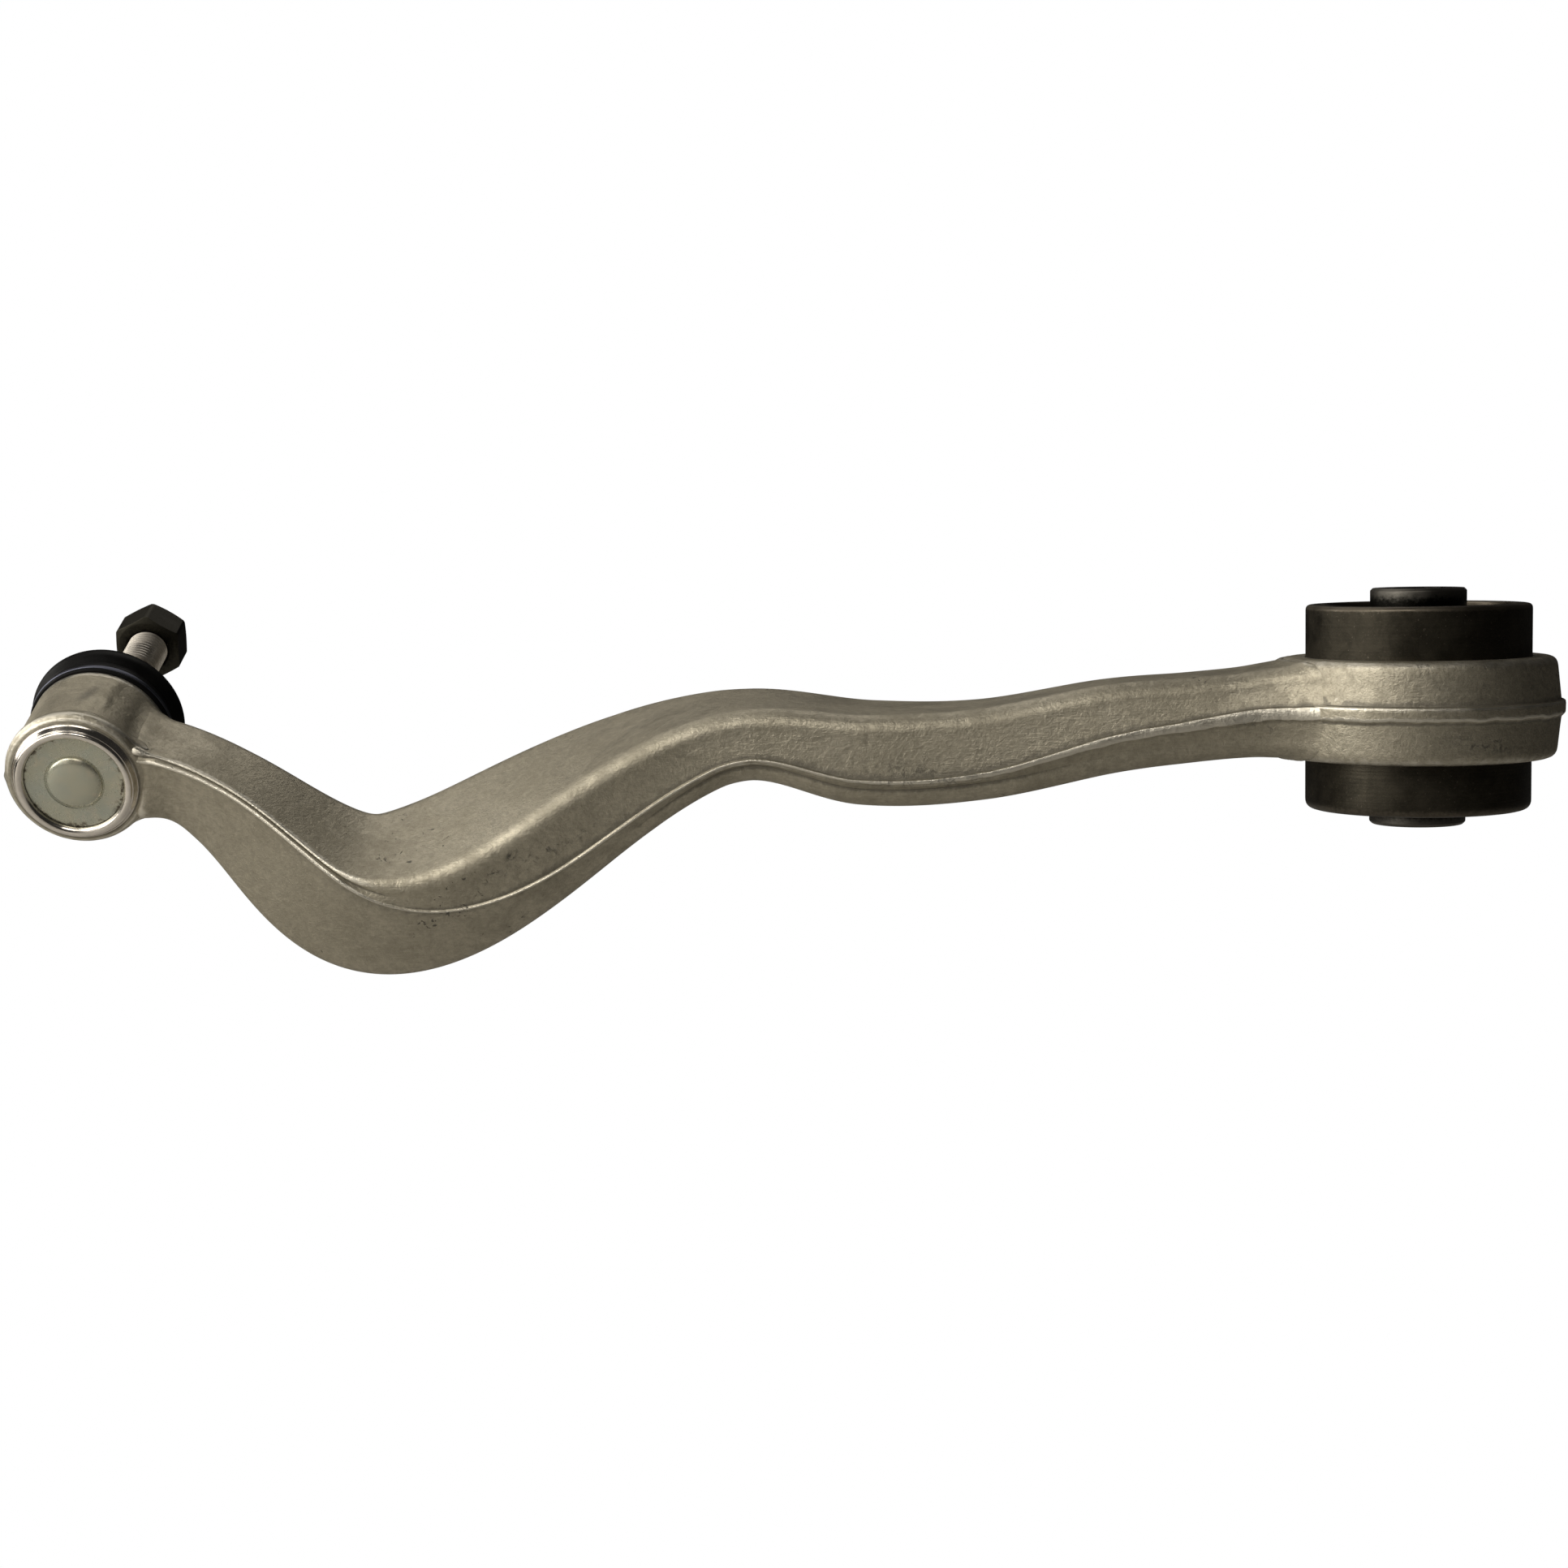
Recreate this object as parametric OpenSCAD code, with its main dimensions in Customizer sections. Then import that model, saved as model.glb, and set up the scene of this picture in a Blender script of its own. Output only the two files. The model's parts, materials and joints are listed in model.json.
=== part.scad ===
// Forged front control arm: a fluid-filled rubber bushing in the ring eye at one end
// and a crimped ball joint with a threaded stud at the other.
// +Z runs along the bushing bore, the origin is the middle of that bore, and the
// forging reaches along -X to the ball joint. Millimetres throughout.

/* [Layout] */
// Distance along X from the bushing axis to the ball centre
ball_reach = 371; // [360:1:385]
// Height of the ball centre below the bushing's middle
ball_drop = 10.5; // [8:0.5:14]
// Rise of the stud axis above the horizontal, in degrees
stud_rise = 23; // [18:1:30]
// Swing of the stud axis towards the free end, in degrees
stud_swing = 2.5; // [0:0.5:5]

/* [Bushing] */
// Outside diameter of the steel can
can_d = 60; // [60:0.1:60.4]
// Length of the steel can
can_l = 55.4; // [52:0.2:58]
// Wall of the steel can
can_wall = 2.2; // [1.8:0.1:2.4]
// Outside diameter of the inner sleeve
sleeve_d = 25.6; // [25:0.1:25.8]
// Length of the inner sleeve
sleeve_l = 64; // [62:0.5:66]
// Hole through the inner sleeve
bolt_bore_d = 12.2; // [12.1:0.1:12.6]

/* [Ring eye] */
// Outside diameter of the forged eye
eye_d = 75.2; // [74:0.2:77]
// Height of the forged eye
eye_h = 27.2; // [26:0.2:29]

/* [Ball joint] */
// Diameter of the ball
ball_d = 27; // [26.5:0.1:27.2]
// Outside diameter of the housing
housing_d = 40; // [40:0.2:41]
// Diameter of the closing cover
cover_d = 33; // [32.6:0.1:33.2]
// Diameter of the raised button on the cover
button_d = 15.8; // [14:0.2:18]

/* [Stud and nut] */
// Thread diameter of the stud
thread_d = 12; // [12]
// Distance from the ball centre to the tip of the stud
stud_tip = 85; // [82:0.5:88]
// Width of the nut across its flats
nut_af = 19; // [19]
// Height of the nut
nut_h = 11.5; // [10:0.5:12]
// Distance from the ball centre to the nut's inner face
nut_at = 69.5; // [67:0.5:71]

/* [Hidden] */
$fn = 72;
eps = 0.01;

// Height of the parting ridge and half its width at the root
flash = 0.9;
flash_half = 1.1;
// How far the top and bottom faces stand in from the widest line of the section
draft = 1.5;
// Corner radius of the forged section
corner = 5;
// Steps between one station of the arm and the next
arm_steps = 3;
// How far along each way a section looks for its direction, in stations
look = 0.6;
// Stations of the arm: x, z, width, height, roll in degrees, and where the parting
// ridge sits on the near wall, from -1 at its foot to 1 at its top
stations = [
    [-364, -11, 26, 21, 24, 0.6],
    [-346, -14.2, 25, 20.5, 27, 0.85],
    [-328, -24.5, 24, 27, 30, 0.95],
    [-311, -40, 28.5, 34.6, 30, 0.95],
    [-292, -51.6, 36, 39.6, 32, 0.9],
    [-268, -46, 42.5, 33, 37, 0.3],
    [-242, -31, 43, 28.5, 33, -0.2],
    [-212, -14, 41, 23.5, 19, -0.34],
    [-182, -6, 39, 19.6, 9, -0.3],
    [-150, -11.2, 39, 24.6, 5, -0.4],
    [-118, -10.6, 39, 24.6, 2, -0.4],
    [-84, -4.6, 39, 23.8, 0, -0.22],
    [-62, -2.4, 39, 22.6, 0, -0.1],
    [-48, -1.2, 39.8, 22.6, 0, 0],
    [-40, -0.6, 41.6, 23.8, 0, 0],
    [-33, -0.2, 46, 25.4, 0, 0],
    [-28, 0, 51.4, 26.2, 0, 0],
    [-24, 0, 56.6, 26.4, 0, 0]
];

// Value at fraction t of the curve through b and c, with neighbours a and d
function curve(a, b, c, d, t) =
    0.5 * (2 * b + (c - a) * t + (2 * a - 5 * b + 4 * c - d) * t * t
           + (3 * b - a - 3 * c + d) * t * t * t);

function station(i) = stations[max(0, min(len(stations) - 1, i))];

// The arm's values at u, where whole numbers are the stations
function along(u) =
    let (i = min(len(stations) - 2, floor(u)))
    curve(station(i - 1), station(i), station(i + 1), station(i + 2), u - i);

function arc(cx, cy, r, from) =
    [for (k = [0:4]) [cx + r * cos(from + k * 22.5), cy + r * sin(from + k * 22.5)]];

// Outline of a forged section: rounded corners, drafted walls and a parting ridge on
// each wall, at height s on one side and -s on the other
function outline(w, h, s) =
    let (
        a = w / 2 - draft,
        b = h / 2,
        tight = max(0.4, min(corner, b - abs(s) - flash_half - 0.2)),
        near_top = s > 0 ? tight : corner,
        near_foot = s > 0 ? corner : tight
    )
    concat(
        [[w / 2 + flash, s], [w / 2, s + flash_half]],
        arc(a - near_top, b - near_top, near_top, 0),
        arc(near_foot - a, b - near_foot, near_foot, 90),
        [[-w / 2, flash_half - s], [-w / 2 - flash, -s], [-w / 2, -s - flash_half]],
        arc(near_top - a, near_top - b, near_top, 180),
        arc(a - near_foot, near_foot - b, near_foot, 270),
        [[w / 2, s - flash_half]]
    );

function ring(u) =
    let (
        v = along(u),
        before = along(max(0, u - look)),
        after = along(min(len(stations) - 1, u + look)),
        run = [after[0] - before[0], after[1] - before[1]] / norm([after[0] - before[0], after[1] - before[1]]),
        up = [-run[1] * cos(v[4]), -sin(v[4]), run[0] * cos(v[4])],
        near = [run[1] * sin(v[4]), -cos(v[4]), -run[0] * sin(v[4])]
    )
    [for (q = outline(v[2], v[3], v[5] * v[3] / 2)) [v[0], 0, v[1]] + q[0] * near + q[1] * up];

module arm_bar() {
    rings = [for (k = [0:arm_steps * (len(stations) - 1)]) ring(k / arm_steps)];
    n = len(rings[0]);
    m = len(rings);
    polyhedron(
        points = [for (r = rings) each r],
        faces = concat(
            [[for (j = [n - 1:-1:0]) j]],
            [for (i = [0:m - 2], j = [0:n - 1])
                [i * n + j, i * n + (j + 1) % n, (i + 1) * n + (j + 1) % n, (i + 1) * n + j]],
            [[for (j = [0:n - 1]) (m - 1) * n + j]]
        )
    );
}

// Places what is drawn about +Z with the ball centre at the origin
module at_ball() {
    translate([-ball_reach, 0, -ball_drop])
        rotate([stud_rise - 90, 0, stud_swing])
            children();
}

module turned(points) {
    rotate_extrude($fn = 96) polygon(points);
}

// Half of a turned profile, given for z >= 0, mirrored to both ends
function both_ends(points) =
    concat(points, [for (i = [len(points) - 1:-1:0]) [points[i][0], -points[i][1]]]);

eye_r = eye_d / 2;
can_r = can_d / 2;
module eye() {
    edge = 2;
    turned(both_ends([
        [20, eye_h / 2], [eye_r - 1.2 - edge, eye_h / 2], [eye_r - 1.2 - edge / 3, eye_h / 2 - edge / 3],
        [eye_r - 1.2, eye_h / 2 - edge], [eye_r, 1.6], [eye_r + 1.2, 0.8]
    ]));
}

housing_r = housing_d / 2;
cover_face = -16;
cover_t = 2.2;
seat_r = 16.3;
housing_top = 18;
// The boot's foot sits in a groove of this radius
groove_r = 18.6;
groove_from = 13.4;
groove_to = 17;
module housing_body() {
    lip = cover_d / 2 - 2.4;
    turned([
        [0, cover_face], [lip, cover_face], [lip, cover_face - 0.9], [lip + 0.7, cover_face - 1.7],
        [lip + 1.7, cover_face - 1.9], [lip + 2.7, cover_face - 1.2], [lip + 3.3, cover_face + 0.2],
        [lip + 3.8, cover_face + 0.9], [housing_r - 0.9, cover_face + 1.2], [housing_r, cover_face + 2.2],
        [housing_r + 0.4, cover_face + 3.4], [housing_r, cover_face + 4.8], [housing_r - 0.5, cover_face + 6],
        [housing_r - 0.2, groove_from], [groove_r, groove_from], [groove_r, groove_to],
        [groove_r + 0.8, groove_to], [groove_r + 0.8, housing_top - 0.5], [groove_r + 0.3, housing_top],
        [0, housing_top]
    ]);
}

// The cavity for seat, preload ring and cover, and the flared mouth for the stud
seat_from = -12.4;
mouth_r = 16.2;
module housing_cavity() {
    cover_r = cover_d / 2;
    turned([
        [0, cover_face - 5], [cover_r - 2.4, cover_face - 5], [cover_r - 2.4, cover_face],
        [cover_r, cover_face], [cover_r, cover_face + cover_t], [seat_r, cover_face + cover_t],
        [seat_r, 4], [11.4, 9.6], [mouth_r, housing_top], [mouth_r, housing_top + 3], [0, housing_top + 3]
    ]);
}

module arm_forging() {
    color([0.62, 0.59, 0.53])
        difference() {
            union() {
                arm_bar();
                eye();
                at_ball() housing_body();
            }
            cylinder(r = can_r, h = eye_h + 20, center = true, $fn = 144);
            at_ball() housing_cavity();
        }
}

module cover_plate() {
    button_r = button_d / 2;
    rise = 1.8;
    color([0.72, 0.71, 0.6])
        at_ball()
            turned([
                [0, cover_face - rise], [button_r * 0.5, cover_face - rise * 0.92],
                [button_r * 0.8, cover_face - rise * 0.65], [button_r * 0.95, cover_face - rise * 0.3],
                [button_r, cover_face],
                [cover_d / 2, cover_face], [cover_d / 2, cover_face + cover_t], [0, cover_face + cover_t]
            ]);
}

module seat_preload_ring() {
    top = seat_from;
    foot = cover_face + cover_t;
    color([0.1, 0.1, 0.1])
        at_ball()
            turned([[10, foot], [15.6, foot], [15.9, foot + 0.5], [15.6, top], [10, top], [9.7, foot + 0.7]]);
}

ball_r = ball_d / 2;
ball_gap = 0.03;
module ball_seat() {
    color([0.9, 0.89, 0.84])
        at_ball()
            difference() {
                turned([
                    [0, seat_from], [seat_r, seat_from], [seat_r, 4], [11.9, 9], [0, 9]
                ]);
                sphere(r = ball_r + ball_gap, $fn = 96);
                translate([0, 0, seat_from - 1]) cylinder(r = 7, h = 6);
            }
}

neck_r = 6.5;
// How far the nut is turned on its thread
nut_turn = 34;
collar_r = 8;
collar_to = 38;
taper_to = 51;
thread_r = thread_d / 2;
module ball_stud() {
    color([0.66, 0.66, 0.68])
        at_ball() {
            difference() {
                sphere(r = ball_r, $fn = 96);
                translate([0, 0, -ball_r - 9.5]) cylinder(r = ball_r, h = 10);
            }
            turned([
                [0, 8], [neck_r, 8], [neck_r, 15], [collar_r + 0.6, 22], [collar_r + 0.6, 24],
                [collar_r, 26], [collar_r, collar_to], [thread_r + 0.8, taper_to],
                [thread_r - 0.9, taper_to + 0.8], [thread_r - 0.9, taper_to + 2.4],
                [0, taper_to + 2.4]
            ]);
            translate([0, 0, taper_to + 2]) cylinder(r = thread_r, h = stud_tip - taper_to - 3);
            translate([0, 0, stud_tip - 1]) cylinder(r1 = thread_r, r2 = thread_r - 1, h = 1);
        }
}

module stud_nut() {
    corner_r = nut_af / 2 / cos(30);
    bevel = 1.1;
    color([0.09, 0.09, 0.09])
        at_ball()
            translate([0, 0, nut_at])
                difference() {
                    intersection() {
                        linear_extrude(nut_h) rotate(nut_turn) circle(r = corner_r, $fn = 6);
                        turned([
                            [0, 0], [nut_af / 2 - 0.2, 0], [corner_r + 0.2, bevel],
                            [corner_r + 0.2, nut_h - bevel], [nut_af / 2 - 0.2, nut_h], [0, nut_h]
                        ]);
                    }
                    translate([0, 0, -1]) cylinder(r = thread_r, h = nut_h + 2);
                    translate([0, 0, -eps]) cylinder(r1 = thread_r + 0.7, r2 = thread_r, h = 0.7);
                    translate([0, 0, nut_h - 0.7 + eps]) cylinder(r1 = thread_r, r2 = thread_r + 0.7, h = 0.7);
                }
}

// Radii and heights of the boot, from its foot in the housing groove to its neck
boot_foot_r = housing_r + 0.7;
boot_bulge_r = housing_r + 2.2;
foot_ring_from = 14.6;
foot_ring_to = 16.2;
neck_from = 31.6;
neck_to = 36.6;
neck_r_in = 9;
neck_r_out = 10.6;
module dust_boot() {
    foot = groove_from + 0.05;
    color([0.07, 0.07, 0.07])
        at_ball()
            turned([
                [groove_r, foot], [boot_foot_r - 0.4, foot], [boot_foot_r, foot + 0.5],
                [boot_foot_r, foot_ring_from], [boot_foot_r - 0.8, foot_ring_from],
                [boot_foot_r - 0.8, foot_ring_to], [boot_foot_r, foot_ring_to],
                [boot_foot_r, 17.6], [boot_foot_r - 0.3, 18.6], [boot_foot_r + 0.3, 19.6],
                [boot_bulge_r - 0.3, 21], [boot_bulge_r, 22.8], [boot_bulge_r - 0.6, 25],
                [boot_bulge_r - 2.6, 27.4], [16.6, 29.4], [13, 30.9], [neck_r_out + 0.6, neck_from],
                [neck_r_out, neck_from + 0.8], [neck_r_out - 0.7, neck_from + 1.2],
                [neck_r_out - 0.7, neck_from + 2.8], [neck_r_out, neck_from + 3],
                [neck_r_out, neck_to], [neck_r_in, neck_to], [neck_r_in, neck_from - 1.6],
                [12.6, 29], [16, 27.5], [18.4, 25.7], [boot_bulge_r - 2.1, 23.6],
                [boot_bulge_r - 2.1, 21.8], [housing_r - 1.2, 19.8], [groove_r + 0.85, 18.6],
                [groove_r + 0.85, groove_to], [groove_r, groove_to]
            ]);
}

module boot_housing_ring() {
    color([0.12, 0.12, 0.12])
        at_ball()
            turned([
                [boot_foot_r - 0.8, foot_ring_from], [boot_foot_r + 0.2, foot_ring_from],
                [boot_foot_r + 0.2, foot_ring_to], [boot_foot_r - 0.8, foot_ring_to]
            ]);
}

module boot_stud_ring() {
    color([0.12, 0.12, 0.12])
        at_ball()
            turned([
                [neck_r_out - 0.7, neck_from + 1.3], [neck_r_out + 0.5, neck_from + 1.3],
                [neck_r_out + 0.5, neck_from + 2.7], [neck_r_out - 0.7, neck_from + 2.7]
            ]);
}

// Slides round the stud's collar and carries the boot's neck
module boot_seal_ring() {
    color([0.3, 0.3, 0.32])
        at_ball()
            turned([
                [collar_r + 0.05, neck_from - 1.2], [neck_r_in, neck_from - 1.2], [neck_r_in, neck_to],
                [neck_r_in + 0.8, neck_to], [neck_r_in + 0.8, neck_to + 1], [collar_r + 0.05, neck_to + 1]
            ]);
}

sleeve_r = sleeve_d / 2;
can_in = can_r - can_wall;
lip_t = 1.8;
module bushing_can() {
    edge = 2;
    lip_r = can_r - 5.2;
    color([0.12, 0.11, 0.1])
        turned([
            [can_in, -can_l / 2 + lip_t], [lip_r, -can_l / 2 + lip_t], [lip_r, -can_l / 2],
            [can_r - edge * 1.4, -can_l / 2], [can_r - edge * 0.45, -can_l / 2 + edge * 0.5],
            [can_r, -can_l / 2 + edge * 1.5], [can_r, can_l / 2 - edge * 0.7],
            [can_r - edge * 0.2, can_l / 2 - edge * 0.2], [can_r - edge * 0.7, can_l / 2],
            [lip_r, can_l / 2], [lip_r, can_l / 2 - lip_t], [can_in, can_l / 2 - lip_t]
        ]);
}

module bushing_sleeve() {
    bore_r = bolt_bore_d / 2;
    bevel = 0.7;
    color([0.2, 0.19, 0.18])
        turned(both_ends([
            [bore_r, sleeve_l / 2 - bevel], [bore_r + bevel, sleeve_l / 2],
            [sleeve_r - bevel, sleeve_l / 2], [sleeve_r, sleeve_l / 2 - bevel]
        ]));
}

// The middle stretch of the bushing holds two fluid chambers, one towards the ball
// joint and one away from it, with rubber webs between them
chamber_h = 32;
chamber_half = 48;
cage_r = 27.7;
cage_in = 26.2;
cage_h = 48;
web_half = 12;

// A wedge about +X, half_angle to each side of it
module wedge(half_angle, r, h) {
    translate([0, 0, -h / 2])
        linear_extrude(h)
            polygon(concat([[0, 0]], [for (k = [-4:4]) r * [cos(k * half_angle / 4), sin(k * half_angle / 4)]]));
}

module bushing_rubber() {
    waist = 20.5;
    color([0.06, 0.06, 0.06])
        difference() {
            turned(both_ends([
                [sleeve_r + 0.05, 26.6], [sleeve_r + 2, 25.4], [18, 22.6], [waist, 21.8], [23.4, 23],
                [can_r - 5.2, 24.6], [cage_in - 0.3, 24.6], [cage_in - 0.1, 24.2]
            ]));
            for (side = [0, 180])
                rotate(side)
                    intersection() {
                        wedge(chamber_half, 40, chamber_h);
                        turned([[sleeve_r, -20], [40, -20], [40, 20], [sleeve_r, 20]]);
                    }
        }
}

module bushing_cage() {
    window_h = chamber_h + 2;
    color([0.35, 0.35, 0.36])
        difference() {
            turned([[cage_in, -cage_h / 2], [cage_r, -cage_h / 2], [cage_r, cage_h / 2], [cage_in, cage_h / 2]]);
            for (side = [0, 180])
                rotate(side)
                    wedge(90 - web_half, 40, window_h);
        }
}

// Half shell over one window, with the fluid track cut into its outer face
module channel_half(side) {
    shell_h = chamber_h + 1.6;
    track_h = 5;
    track_deep = 1.1;
    color([0.16, 0.16, 0.17])
        rotate(side)
            intersection() {
                difference() {
                    turned([[cage_in + 0.05, -shell_h / 2], [cage_r, -shell_h / 2],
                            [cage_r, shell_h / 2], [cage_in + 0.05, shell_h / 2]]);
                    for (z = [-8, 4])
                        turned([[cage_r - track_deep, z], [cage_r + 1, z],
                                [cage_r + 1, z + track_h], [cage_r - track_deep, z + track_h]]);
                }
                wedge(89 - web_half, 40, shell_h + 4);
            }
}

module channel_half_outer() {
    channel_half(0);
}

module channel_half_inner() {
    channel_half(180);
}

// Block on the sleeve that limits how far the sleeve can move inside a chamber
module bump_stop(side) {
    foot_r = sleeve_r + 0.05;
    stop_r = 20.5;
    stop_h = 20;
    color([0.75, 0.72, 0.64])
        rotate(side)
            intersection() {
                turned([[foot_r, -stop_h / 2], [stop_r, -stop_h / 2 + 2], [stop_r, stop_h / 2 - 2],
                        [foot_r, stop_h / 2]]);
                wedge(24, 40, stop_h + 4);
            }
}

module bump_stop_outer() {
    bump_stop(0);
}

module bump_stop_inner() {
    bump_stop(180);
}

// Flat ring between the can's rolled lip and the cage
module end_shield(end) {
    from = cage_h / 2;
    to = can_l / 2 - lip_t;
    color([0.25, 0.25, 0.26])
        mirror([0, 0, end])
            turned([[can_r - 5, from + 0.9], [cage_in, from + 0.9], [cage_in, from], [can_in - 0.1, from],
                    [can_in - 0.1, to], [can_r - 5, to]]);
}

module end_shield_top() {
    end_shield(0);
}

module end_shield_bottom() {
    end_shield(1);
}

arm_forging();
cover_plate();
seat_preload_ring();
ball_seat();
ball_stud();
stud_nut();
dust_boot();
boot_housing_ring();
boot_stud_ring();
boot_seal_ring();
bushing_can();
bushing_sleeve();
bushing_rubber();
bushing_cage();
channel_half_outer();
channel_half_inner();
bump_stop_outer();
bump_stop_inner();
end_shield_top();
end_shield_bottom();
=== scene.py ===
import json
import math
import bpy
import numpy as np
from mathutils import Matrix, Vector, noise
from mathutils.bvhtree import BVHTree


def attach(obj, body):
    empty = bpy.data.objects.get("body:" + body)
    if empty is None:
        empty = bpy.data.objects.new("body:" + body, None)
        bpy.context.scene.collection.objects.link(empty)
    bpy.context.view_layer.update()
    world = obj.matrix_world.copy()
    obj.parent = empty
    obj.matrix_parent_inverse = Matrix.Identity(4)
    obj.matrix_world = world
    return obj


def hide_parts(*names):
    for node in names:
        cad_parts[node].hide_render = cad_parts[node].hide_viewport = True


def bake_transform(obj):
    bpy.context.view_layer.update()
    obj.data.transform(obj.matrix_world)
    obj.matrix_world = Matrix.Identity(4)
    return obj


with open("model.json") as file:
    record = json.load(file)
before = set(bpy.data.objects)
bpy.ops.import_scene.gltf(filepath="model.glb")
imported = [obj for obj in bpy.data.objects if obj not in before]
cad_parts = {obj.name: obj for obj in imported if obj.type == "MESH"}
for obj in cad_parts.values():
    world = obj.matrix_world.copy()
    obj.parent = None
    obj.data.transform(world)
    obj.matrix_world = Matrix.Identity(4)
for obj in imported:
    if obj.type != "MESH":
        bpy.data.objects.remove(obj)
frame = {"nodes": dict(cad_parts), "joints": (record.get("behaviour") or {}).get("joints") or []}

bpy.context.view_layer.update()
mm = 0.001  # shapes are drawn in millimetres and stored in metres

# where the ball joint sits and how its stud leans, from the part's own joints
jointList = {joint["name"]: joint for joint in frame["joints"]}
ballAt = Vector(jointList["stud_spin"]["pos_m"]) / mm
studAxis = Vector(jointList["stud_spin"]["axis"]).normalized()
tiltAxis = Vector(jointList["ball_tilt"]["axis"]).normalized()
sideAxis = studAxis.cross(tiltAxis).normalized()
ballFrame = Matrix((tiltAxis, sideAxis, studAxis)).transposed().to_4x4()
ballFrame.translation = ballAt
restFrame = Matrix.Identity(4)


def toFrame(points, matrix):
    m = np.array(matrix)
    return np.asarray(points, float) @ m[:3, :3].T + m[:3, 3]


def fromFrame(points, matrix):
    return toFrame(points, matrix.inverted())


def softened(corners, steps=5):
    # each corner is (radius from the axis, height, how far back its rounding starts)
    outline = []
    count = len(corners)
    for i, corner in enumerate(corners):
        here = np.array(corner[:2], float)
        back = np.array(corners[i - 1][:2], float) - here
        ahead = np.array(corners[(i + 1) % count][:2], float) - here
        cut = corner[2] if len(corner) > 2 else 0
        cut = min(cut, 0.49 * np.linalg.norm(back), 0.49 * np.linalg.norm(ahead))
        if cut < 1e-4:
            outline.append(tuple(here))
            continue
        start = here + back / np.linalg.norm(back) * cut
        end = here + ahead / np.linalg.norm(ahead) * cut
        for k in range(steps + 1):
            t = k / steps
            outline.append(tuple((1 - t) ** 2 * start + 2 * t * (1 - t) * here + t * t * end))
    return outline


def filled(outline, longest, closed=True):
    # adds points so that no stretch is longer than this
    dense = []
    count = len(outline)
    for i in range(count if closed else count - 1):
        a, b = np.array(outline[i]), np.array(outline[(i + 1) % count])
        pieces = max(1, math.ceil(np.linalg.norm(b - a) / longest))
        dense += [tuple(a + (b - a) * k / pieces) for k in range(pieces)]
    return dense if closed else dense + [tuple(outline[-1])]


def volumeOf(verts, faces):
    total = 0.0
    for face in faces:
        a = verts[face[0]]
        for b, c in zip(face[1:-1], face[2:]):
            total += np.dot(a, np.cross(verts[b], verts[c]))
    return total / 6


def outward(verts, faces):
    # turns every face round if the shell came out inside out
    return faces if volumeOf(verts, faces) >= 0 else [tuple(reversed(face)) for face in faces]


def spun(radius, height, angle):
    return radius * math.cos(angle), radius * math.sin(angle), height


def bandFace(i, j, rows, turns):
    # the quad between one ring of points and the next one, at one column
    a, b, k = i * turns, ((i + 1) % rows) * turns, (j + 1) % turns
    return a + j, a + k, b + k, b + j


def turned(outline, turns=192, wave=None, closed=True):
    # spins an outline round the axis; wave(angle, radius, height) gives a changed radius and height
    verts, rows = [], []
    for radius, height in outline:
        if radius < 1e-6:
            rows.append([len(verts)] * turns)
            verts.append((0, 0, height))
            continue
        rows.append([len(verts) + j for j in range(turns)])
        for j in range(turns):
            angle = 2 * math.pi * j / turns
            verts.append(spun(*(wave(angle, radius, height) if wave else (radius, height)), angle))
    faces, rowOf = [], []
    last = len(rows) if closed else len(rows) - 1
    for i in range(last):
        low, high = rows[i], rows[(i + 1) % len(rows)]
        for j in range(turns):
            k = (j + 1) % turns
            face = []
            for v in (low[j], low[k], high[k], high[j]):
                if v not in face:
                    face.append(v)
            if len(face) > 2:
                faces.append(tuple(face))
                rowOf.append(i)
    verts = np.array(verts, float)
    return verts, outward(verts, faces), rowOf


def smoothed(values, edges, rounds):
    # evens a value or a direction out over neighbouring points
    a, b = edges
    for _ in range(rounds):
        total, number = values.copy(), np.ones(len(values))
        for here, there in ((a, b), (b, a)):
            np.add.at(total, here, values[there])
            np.add.at(number, here, 1)
        values = total / (number[:, None] if values.ndim == 2 else number)
    return values


def normalsAndEdges(mesh):
    edges = np.empty(len(mesh.edges) * 2, int)
    mesh.edges.foreach_get("vertices", edges)
    return np.array([n.vector for n in mesh.vertex_normals]), edges.reshape(-1, 2).T


def crestOf(mesh):
    # how sharply the surface is convex (+) or hollow (-) at each point, per millimetre
    count = len(mesh.vertices)
    co = np.empty(count * 3)
    mesh.vertices.foreach_get("co", co)
    co = co.reshape(-1, 3) / mm
    normal, (a, b) = normalsAndEdges(mesh)
    span = co[b] - co[a]
    square = np.maximum((span ** 2).sum(1), 1e-6)
    total, number = np.zeros(count), np.zeros(count)
    for here, way in ((a, span), (b, -span)):
        np.add.at(total, here, -2 * (way * normal[here]).sum(1) / square)
        np.add.at(number, here, 1)
    return smoothed(total / np.maximum(number, 1), (a, b), 2)


def asPiece(name, verts, faces, materials, slotOf=None, sharp=35, matrix=restFrame):
    mesh = bpy.data.meshes.new(name)
    mesh.from_pydata((toFrame(verts, matrix) * mm).tolist(), [], faces)
    for material in materials:
        mesh.materials.append(material)
    if slotOf is not None:
        mesh.polygons.foreach_set("material_index", slotOf)
    return finishMesh(name, mesh, sharp)


def finishMesh(name, mesh, sharp=35):
    mesh.update()
    mesh.shade_smooth()
    mesh.set_sharp_from_angle(angle=math.radians(sharp))
    bend = crestOf(mesh) * 3
    for label, value in (("crest", bend), ("hollow", -bend)):
        mask = mesh.attributes.new(label, "FLOAT", "POINT")
        mask.data.foreach_set("value", np.clip(value, 0, 1).astype(np.float32))
    piece = bpy.data.objects.new(name, mesh)
    bpy.context.collection.objects.link(piece)
    return piece


def standsFor(piece, body, node):
    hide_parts(node)
    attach(piece, body)


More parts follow.
